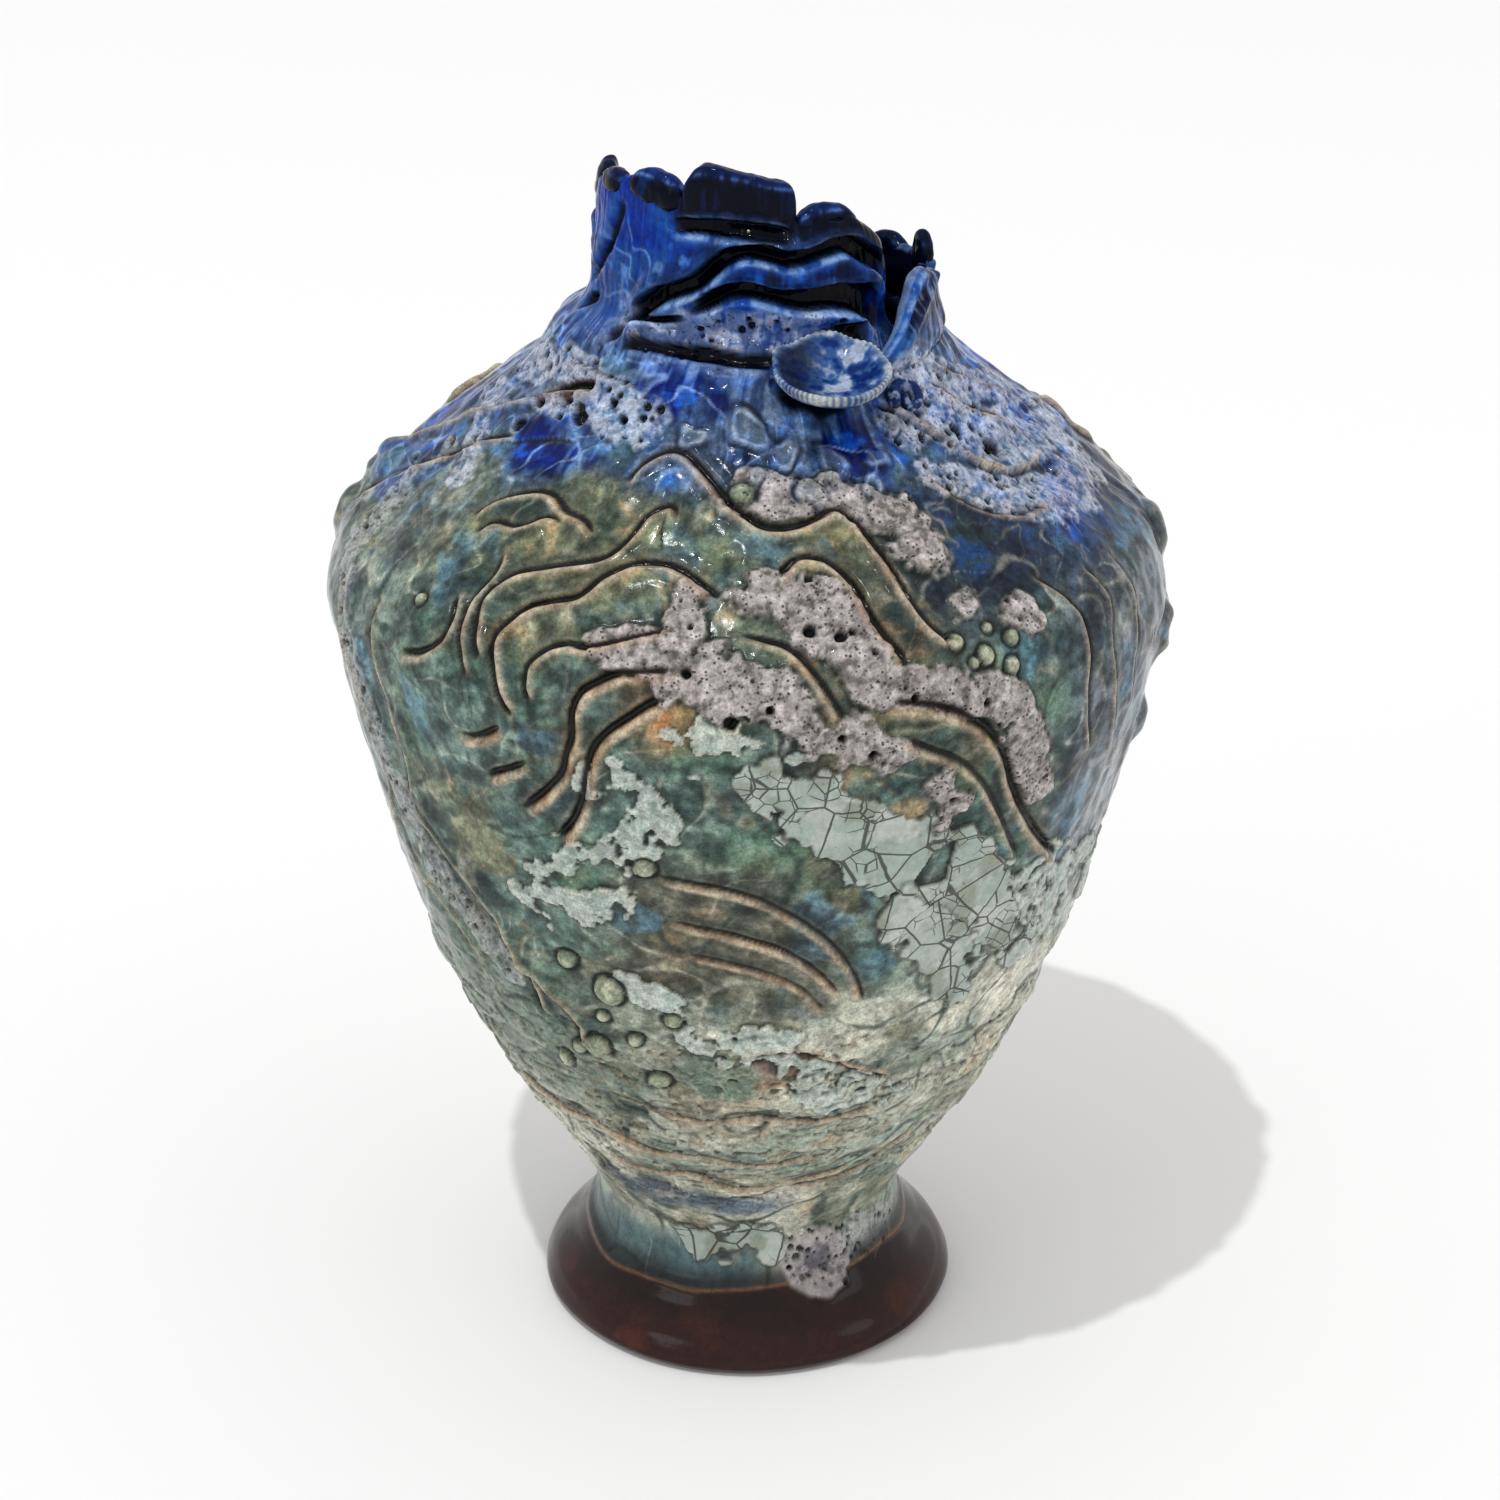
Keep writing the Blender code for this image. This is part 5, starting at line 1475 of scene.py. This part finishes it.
def shape_wrap(skin, az, rim_z):
    """Relief and colour of the sheet wrapped round the mouth."""
    p = skin.p
    skin.d += (fbm(p, 22, 2, 670) * 1.2 + fbm(p, 7, 3, 671) * 0.5) * smoothstep(skin.z, 300, 312)
    skin.d += runs(skin, 2.2, 14, 672) * 0.25 * smoothstep(skin.z, 300, 312)
    n_small = paint_neck(skin, az, rim_z)
    for fold in FOLDS:
        press_fold(skin, *fold)
    for line in NECK_LINES:
        carve_line(skin, neck_place, *line)
    upper = smoothstep(skin.z, 314, 319)
    # painted shade under each overhanging lip
    skin.paint((3, 8, 26), skin.under * (0.35 + 0.5 * upper) * smoothstep(n_small, 0.6, -0.2))
    # painted highlight along the rounded edges below the crevices
    skin.paint((186, 206, 236), skin.crest * smoothstep(n_small, -0.5, 0.1) * 0.85)
    skin.paint((136, 104, 84), skin.rimline * smoothstep(n_small, -0.1, 0.5) * 0.6)
    # pale lips of the grooves: broken glaze together with a painted highlight
    skin.paint((130, 150, 190), skin.lines["pale"] * 0.6)
    # crevices and grooves painted near-black: painted shade
    dark = np.maximum(skin.gap, smoothstep(skin.lines["dark"], 0.2, 0.7))
    skin.paint((1, 2, 6), dark * 0.98)
    skin.foam *= 1 - dark
    skin.d -= 1.2 * smoothstep(az, 52, 62)
    join_shoulder(skin)


def join_shoulder(skin):
    """Carry the shoulder's own relief and colours up over the foot of the neck."""
    low = np.where(skin.z < JOIN_TOP)[0]
    under = Skin(skin.az[low], skin.z[low], skin.p[low], skin.n[low])
    shape_body(under)
    wave = 2.2 * noise3(under.p, 12.0, 675) + 0.8 * noise3(under.p, 3.0, 676)
    share = smoothstep(under.z + wave, JOIN_TOP - 2.0, JOIN_TOP - 8.0)
    share = np.maximum(share, smoothstep(under.z, 298.0, 296.0))
    mix = share[:, None]
    skin.rgb[low] = skin.rgb[low] * (1 - mix) + under.rgb * mix
    skin.d[low] = skin.d[low] * (1 - share) + under.d * share
    skin.foam[low] = skin.foam[low] * (1 - share) + under.foam * share
    skin.dry[low] = skin.dry[low] * (1 - share) + under.dry * share
    skin.d[low] -= 0.6 * smoothstep(skin.z[low], 297.5, 295.2)


def shape_flap(skin, az, rim_z):
    """Outer end of the sheet: a rolled edge painted bright blue with a painted highlight along it, navy face
    and foam below.
    """
    z, p = skin.z, skin.p
    n_mid = fbm(p, 9, 4, 681)
    n_small = fbm(p, 2.8, 3, 682)
    fall = runs(skin, 1.3, 12, 683) * 0.6 + runs(skin, 0.7, 7, 684) * 0.4
    edge = np.minimum(rim_z - z, (az - FLAP_TOP[0][0]) * SHEET_RADIUS * math.pi / 180)
    skin.d += fbm(p, 18, 2, 685) * 1.0 + fbm(p, 6, 3, 686) * 0.4
    rolled = np.exp(-((edge - 1.8) / 2.0) ** 2)
    behind = np.exp(-((edge - 6.0) / 2.0) ** 2) * smoothstep(az, 70, 56)
    skin.d += 1.5 * rolled * smoothstep(az, 74, 58) - 1.0 * behind
    ridge = np.exp(-((az - 72 - 2 * (z - 312)) / 5.0) ** 2)
    skin.d += 1.8 * ridge - 0.6 * np.exp(-((az - 84) / 3.0) ** 2)
    skin.rgb[:] = np.array((30, 42, 74)) / 255.0
    skin.paint((150, 158, 182), smoothstep(fall + 0.4 * n_small, 0.1, 0.5) * 0.75)
    skin.paint((6, 10, 30), smoothstep(-fall - 0.3 * n_mid, 0.05, 0.5) * 0.85)
    low = smoothstep(z + 3 * n_mid, 305, 299)
    skin.paint((118, 132, 166), low * 0.8)
    skin.paint((176, 184, 204), low * smoothstep(n_small, 0.0, 0.5) * 0.7)
    skin.paint((30, 60, 120), low * smoothstep(-n_mid, 0.1, 0.5) * 0.8)
    azure = smoothstep(az, 58, 46) * smoothstep(z + 2 * n_mid, 310, 303)
    skin.paint((36, 112, 192), azure * 0.85)
    skin.paint((120, 170, 220), azure * smoothstep(n_small, 0.2, 0.6) * 0.6)
    # rolled edge painted brighter blue: blue glaze together with painted light on the side facing the key
    bright = smoothstep(edge, 6.5, 3.0) * smoothstep(az, 72, 60)
    skin.paint((24, 78, 170), bright * 0.9)
    # painted highlight line along the rolled edge
    skin.paint((150, 172, 206), np.exp(-((edge - 0.8) / 0.8) ** 2) * smoothstep(n_small, -0.4, 0.3) * 0.75)
    skin.foam = low * 0.8
    join_shoulder(skin)
    spots, ident = cells(p, 3.6, 687)
    pit = smoothstep(0.3 + 0.9 * ident ** 3 - spots, -0.2, 0.25) * smoothstep(skin.foam, 0.3, 0.6)
    skin.d -= 1.3 * pit
    skin.paint((10, 14, 30), pit * 0.9)
    skin.dry[:] = 0.05 + 0.2 * skin.foam


def lump(node_name, start, end, tops, half_thick, boxy, lean, tint):
    """Rolled lump of clay on the rim: rounded sections swept along the sheet."""
    count = max(24, int(math.radians(abs(end - start)) * SHEET_RADIUS / (SPACING * 0.9)))
    rows = int(2 * (12 + 2 * half_thick) / (SPACING * 0.9))
    t = np.linspace(0.004, 0.996, count)
    az = start + (end - start) * t
    rim = table(RIM, az)
    top = table([(k / (len(tops) - 1), height) for k, height in enumerate(tops)], t)
    low = np.minimum(rim, top) - 5.0
    rounding = (1 - np.abs(2 * t - 1) ** boxy) ** (1 / 2.2)
    phi = np.linspace(0, 2 * math.pi, rows, endpoint=False)
    power = 2.0 / (2.0 + 0.18 * boxy)
    across = np.sign(np.cos(phi)) * np.abs(np.cos(phi)) ** power
    upward = np.sign(np.sin(phi)) * np.abs(np.sin(phi)) ** power
    half_high = (top - low) / 2 * rounding
    centre_z = (top + low) / 2
    z = centre_z[None, :] + upward[:, None] * half_high[None, :]
    inset = (table(TUCK, az) + NECK_WALL / 2)[None, :] - across[:, None] * half_thick * rounding[None, :]
    inset = inset - lean * (z - low[None, :])
    az_grid = np.tile(az, (rows, 1))
    points = neck_point(az_grid, z, inset)
    flat = points.reshape(-1, 3)
    middle = np.tile(points.mean(0), (rows, 1))
    away = flat - middle
    away /= np.linalg.norm(away, axis=1, keepdims=True) + 1e-9
    bump = fbm(flat, 8, 3, 690) * 0.8 + fbm(flat, 2.5, 2, 691) * 0.3
    flat = flat + away * (bump * np.tile(rounding, rows))[:, None]
    streak = fbm(flat * np.array((1, 1, 0.22)), 1.6, 3, 692)
    rgb = np.tile(np.array(INK) / 255.0, (len(flat), 1))
    # top of the lump blue over ink below: glaze colour together with painted light on the top and painted
    # shade on the face
    level = smoothstep(flat[:, 2] - np.tile(top, rows), -3.4, -0.4)
    blue = (np.clip(level * 0.7 + smoothstep(streak, 0.1, 0.5) * 0.5, 0, 1) * tint)[:, None]
    rgb = rgb * (1 - blue) + np.array((14, 52, 138)) / 255.0 * blue
    # painted highlight along the top edge
    brow_highlight = np.exp(-((flat[:, 2] - np.tile(top, rows) + 1.5) / 0.55) ** 2)
    brow_highlight = (brow_highlight * smoothstep(streak, -0.3, 0.3) * tint * 0.8)[:, None]
    rgb = rgb * (1 - brow_highlight) + np.array((110, 146, 200)) / 255.0 * brow_highlight
    name = node_name + "_lump"
    mesh = grid_mesh(name, flat.reshape(rows, count, 3), wrap_columns=False, cap_ends=True)
    pad = np.zeros(len(flat))
    return dress(name, mesh, rgb, pad + 0.03, pad, pad, NECK_GLAZE, [node_name])


def make_neck():
    """The two sheets and the lumps on their rim."""
    sheet_piece("neck_sheet", 64, -268, RIM, lambda az: table(TUCK, az), NECK_WALL, shape_wrap, (60, 84, 120),
                ["neck_wrap"] + nodes_named("neck_ledge"))
    sheet_piece("neck_flap", 38, 108, FLAP_TOP, lambda az: table(FLAP_INSET, az), NECK_WALL, shape_flap,
                (150, 156, 170), ["overlap_flap"])
    for node_name, *sizes in LUMPS:
        lump(node_name, *sizes)


# rim lumps: node, azimuth range, top heights along it, half thickness, squareness, lean, share of blue
LUMPS = (
    ("rim_slab", -30, 12, (345, 350.5, 350, 349, 347.5, 346.5), 2.6, 14, 0.12, 0.55),
    ("rim_lobe_left", -56, -29, (345.5, 347.5, 347, 345), 3.0, 4, 0.02, 0.9),
    ("rim_lobe_right", 11, 38, (338, 340.5, 340, 337), 2.6, 4, 0.05, 0.7),
    ("rim_horn_left", -104, -82, (341, 343, 342.5), 3.0, 3, 0.02, 0.3),
    ("rim_horn_side", -82, -60, (342, 344, 343.5), 2.6, 3, 0.02, 0.4),
    ("rim_horn_right_1", -243, -221, (315, 317, 316), 2.4, 3, 0.02, 0.3),
    ("rim_horn_right_2", -268, -250, (319, 321.5, 319), 2.4, 3, 0.02, 0.3),
)


# ---- shell and curl -------------------------------------------------------------------------
SHELL_CENTRE = np.array((21.0, -51.0, 302.0))
SHELL_RADIUS = 14.5
SHELL_TILT = math.radians(14.0)
# section from the middle of the hollow over the lip to the middle of the underside
SHELL_SECTION = (
    (0.0, -2.6), (0.35, -2.2), (0.62, -1.0), (0.82, 0.8), (0.93, 2.2), (0.985, 2.5), (1.02, 1.7),
    (1.0, 0.2), (0.9, -1.9), (0.72, -3.8), (0.4, -5.2), (0.0, -5.6),
)


def make_shell():
    """Ribbed cup that stands out from the front of the neck."""
    section = np.array(SHELL_SECTION)
    step = np.linalg.norm(np.diff(section, axis=0) * (SHELL_RADIUS, 1), axis=1)
    length = np.concatenate([[0], np.cumsum(step)])
    rows = int(length[-1] / (SPACING * 0.7))
    along = np.linspace(0, length[-1], rows)
    rho = np.interp(along, length, section[:, 0]) * SHELL_RADIUS
    lift = np.interp(along, length, section[:, 1])
    for _ in range(3):
        rho[1:-1] = (rho[:-2] + 2 * rho[1:-1] + rho[2:]) / 4
        lift[1:-1] = (lift[:-2] + 2 * lift[1:-1] + lift[2:]) / 4
    cols = int(2 * math.pi * SHELL_RADIUS / (SPACING * 0.6))
    theta = 2 * math.pi * np.arange(cols) / cols
    rr, tt = np.meshgrid(rho, theta, indexing="ij")
    ll = np.tile(lift[:, None], (1, cols))
    share = rr / SHELL_RADIUS
    side = np.stack([np.cos(tt).ravel() * 9, np.sin(tt).ravel() * 9, np.zeros(tt.size)], 1)
    wobble = noise3(side, 5.0, 701).reshape(tt.shape)
    ribs = np.cos(tt * 58 + 5.0 * wobble) * smoothstep(share, 0.80, 1.0)
    rr = rr * (1 + 0.07 * wobble * share + 0.007 * ribs)
    ll = ll + 0.12 * ribs + (0.9 * wobble - 1.2 * np.cos(tt)) * share
    x = rr * np.cos(tt) * 1.04
    y = rr * np.sin(tt)
    c, s = math.cos(SHELL_TILT), math.sin(SHELL_TILT)
    points = np.stack([x, y * c - ll * s, y * s + ll * c], -1) + SHELL_CENTRE
    flat = points.reshape(-1, 3)
    top_side = (np.arange(rows) < rows * 0.52)[:, None] & np.ones(cols, bool)[None, :]
    reach = (7 + 9 * share).ravel()
    spread = np.stack([np.cos(tt).ravel() * reach, np.sin(tt).ravel() * reach, share.ravel() * 5.0], 1)
    streak = (0.18 * fbm(spread, 2.2, 3, 702) + 1.1 * fbm(flat, 3.6, 4, 703)).reshape(tt.shape)
    rgb = np.tile(np.array((58, 92, 150)) / 255.0, (rows * cols, 1)).reshape(rows, cols, 3)

    def wash(colour, mask):
        nonlocal rgb
        m = np.clip(mask, 0, 1)[..., None]
        rgb = rgb * (1 - m) + np.array(colour) / 255.0 * m

    wash((176, 188, 208), smoothstep(streak, 0.0, 0.4) * 0.9)
    wash((12, 40, 104), smoothstep(-streak, 0.05, 0.4) * 0.9)
    # painted shade on the inside of the cup's left wall
    left = smoothstep(-np.cos(tt) * share + 0.25 * streak, 0.0, 0.6) * smoothstep(share, 0.98, 0.84)
    wash((16, 26, 50), left * top_side * 0.85)
    lip_band = np.exp(-((share - 0.99) / 0.07) ** 2)
    wash((188, 190, 184), lip_band * (0.5 + 0.3 * ribs + 0.5 * wobble))
    # underside of the cup painted near-black: painted shade under it
    wash((8, 10, 18), (~top_side) * smoothstep(share, 0.97, 0.80))
    mesh = grid_mesh("shell_cup", points, wrap_columns=True)
    pad = np.zeros(len(flat))
    dress("shell_cup", mesh, rgb.reshape(-1, 3), pad + 0.1, pad, pad, NECK_GLAZE,
          ["shell_shelf"])
    close_middle(mesh)


def close_middle(mesh):
    """Merge the degenerate rings in the middle of a turned grid."""
    shape = bmesh.new()
    shape.from_mesh(mesh)
    bmesh.ops.remove_doubles(shape, verts=shape.verts, dist=0.000004)
    shape.to_mesh(mesh)
    shape.free()


def tube_piece(name, path, radii, colour_of, nodes):
    """Closed tube along a dense path with the given radii."""
    path = np.asarray(path, float)
    tangent = np.gradient(path, axis=0)
    tangent /= np.linalg.norm(tangent, axis=1, keepdims=True)
    guide = np.array((0.3, 0.2, 1.0))
    u = np.cross(tangent, guide)
    u /= np.linalg.norm(u, axis=1, keepdims=True)
    v = np.cross(tangent, u)
    rows = 28
    phi = 2 * math.pi * np.arange(rows) / rows
    points = (path[None] + radii[None, :, None] * (
        np.cos(phi)[:, None, None] * u[None] + np.sin(phi)[:, None, None] * v[None]))
    flat = points.reshape(-1, 3)
    away = flat - np.tile(path, (rows, 1))
    away /= np.linalg.norm(away, axis=1, keepdims=True) + 1e-9
    flat = flat + away * (fbm(flat, 3.5, 3, 711) * 0.5)[:, None]
    mesh = grid_mesh(name, flat.reshape(rows, len(path), 3), wrap_columns=False, cap_ends=True)
    pad = np.zeros(len(flat))
    return dress(name, mesh, colour_of(flat), pad + 0.1, pad, pad, NECK_GLAZE, nodes)


def curl_colour(p):
    """Dark blue with paler streaks, like the foam round it."""
    streak = fbm(p, 2.0, 3, 712)
    m = smoothstep(streak, -0.1, 0.35)[:, None]
    return np.array((22, 40, 84)) / 255.0 * (1 - m) + np.array((132, 146, 178)) / 255.0 * m


def make_curl():
    """Curled tail of clay at the foot of the flap, turned round a dark hole."""
    centre = body_point(np.array([46.0]), np.array([290.0]))[0]
    out = body_normal(np.array([46.0]), np.array([290.0]))[0]
    side = np.cross((0, 0, 1), out)
    side /= np.linalg.norm(side)
    up = np.cross(out, side)
    t = np.linspace(0, 1, 150)
    turn = np.radians(200 - 430 * t)
    radius = 4.4 - 2.9 * t
    path = centre + out * (1.6 + 1.6 * t)[:, None]
    path = path + side * (np.cos(turn) * radius)[:, None] + up * (np.sin(turn) * radius)[:, None]
    radii = 2.1 * (1 - 0.5 * t) * np.sqrt(np.clip(1 - (2 * np.abs(t - 0.5)) ** 14, 0.01, 1))
    tube_piece("curl_tail", path, radii, curl_colour, ["snail_curl"])


make_neck()
make_shell()
make_curl()


# ---- stage ----------------------------------------------------------------------------------
def plain_material(name, colour, rough):
    """Evenly coloured material for the floor."""
    mat = bpy.data.materials.new(name)
    mat.use_nodes = True
    shader = mat.node_tree.nodes["Principled BSDF"]
    shader.inputs["Base Color"].default_value = (*colour, 1)
    shader.inputs["Roughness"].default_value = rough
    return mat


FLOOR_SIZE = 12.0


def make_floor():
    """Plain pale floor that runs out of the picture."""
    mesh = bpy.data.meshes.new("floor")
    half = FLOOR_SIZE / 2
    corners = [(-half, -half, 0), (half, -half, 0), (half, half, 0), (-half, half, 0)]
    mesh.from_pydata(corners, [], [(0, 1, 2, 3)])
    floor = bpy.data.objects.new("floor", mesh)
    mesh.materials.append(plain_material("paper", (0.93, 0.93, 0.93), 0.9))
    bpy.context.scene.collection.objects.link(floor)


def area_light(name, place, aim, size, watts, colour=(1, 1, 1)):
    """Round area lamp aimed at a point."""
    data = bpy.data.lights.new(name, "AREA")
    data.shape = "DISK"
    data.size = size
    data.energy = watts
    data.color = colour
    lamp = bpy.data.objects.new(name, data)
    lamp.location = place
    lamp.rotation_euler = (Vector(aim) - Vector(place)).to_track_quat("-Z", "Y").to_euler()
    bpy.context.scene.collection.objects.link(lamp)


# the key stands high to the left and in front; its direction follows from the shadow on the floor
KEY_DIRECTION = (-0.185, -0.307, 0.934)
KEY_DISTANCE = 8.0
KEY_SIZE = 0.16
KEY_WATTS = 212
FILL_SIZE = 1.2
# fills: name, place, watts, colour
FILLS = (
    ("left_fill", (-2.4, -2.2, 1.6), 5, (0.92, 0.96, 1.0)),
    ("right_fill", (2.6, -1.2, 1.4), 3, (0.94, 0.97, 1.0)),
)
SKY_COLOUR = (0.985, 0.97, 0.97, 1)
SKY_STRENGTH = 0.81


def make_light():
    """Small high key for the shadow, two weak fills and an even sky."""
    centre = Vector((0, 0, 0.17))
    key = Vector(KEY_DIRECTION).normalized()
    area_light("key", centre + key * KEY_DISTANCE, centre, KEY_SIZE, KEY_WATTS, (0.98, 1.0, 1.0))
    for name, place, watts, colour in FILLS:
        area_light(name, place, centre, FILL_SIZE, watts, colour)
    world = bpy.data.worlds.new("studio")
    world.use_nodes = True
    sky = world.node_tree.nodes["Background"]
    sky.inputs["Color"].default_value = SKY_COLOUR
    sky.inputs["Strength"].default_value = SKY_STRENGTH
    bpy.context.scene.world = world
    bpy.context.scene.view_settings.view_transform = "Standard"


CAMERA_DISTANCE = 1.10
CAMERA_ELEVATION = 26.0
CAMERA_LENS = 94.1
CAMERA_SENSOR = 36.0
CAMERA_AIM = (0.0008, 0.0, 0.1706)


def make_camera():
    """Camera at the photograph's angle, seen from the front and above."""
    data = bpy.data.cameras.new("camera")
    data.lens = CAMERA_LENS
    data.sensor_width = CAMERA_SENSOR
    camera = bpy.data.objects.new("camera", data)
    middle = Vector(CAMERA_AIM)
    e = math.radians(CAMERA_ELEVATION)
    camera.location = middle + Vector((0, -math.cos(e), math.sin(e))) * CAMERA_DISTANCE
    camera.rotation_euler = (middle - camera.location).to_track_quat("-Z", "Y").to_euler()
    bpy.context.scene.collection.objects.link(camera)
    bpy.context.scene.camera = camera


make_floor()
make_light()
make_camera()
bpy.context.view_layer.update()
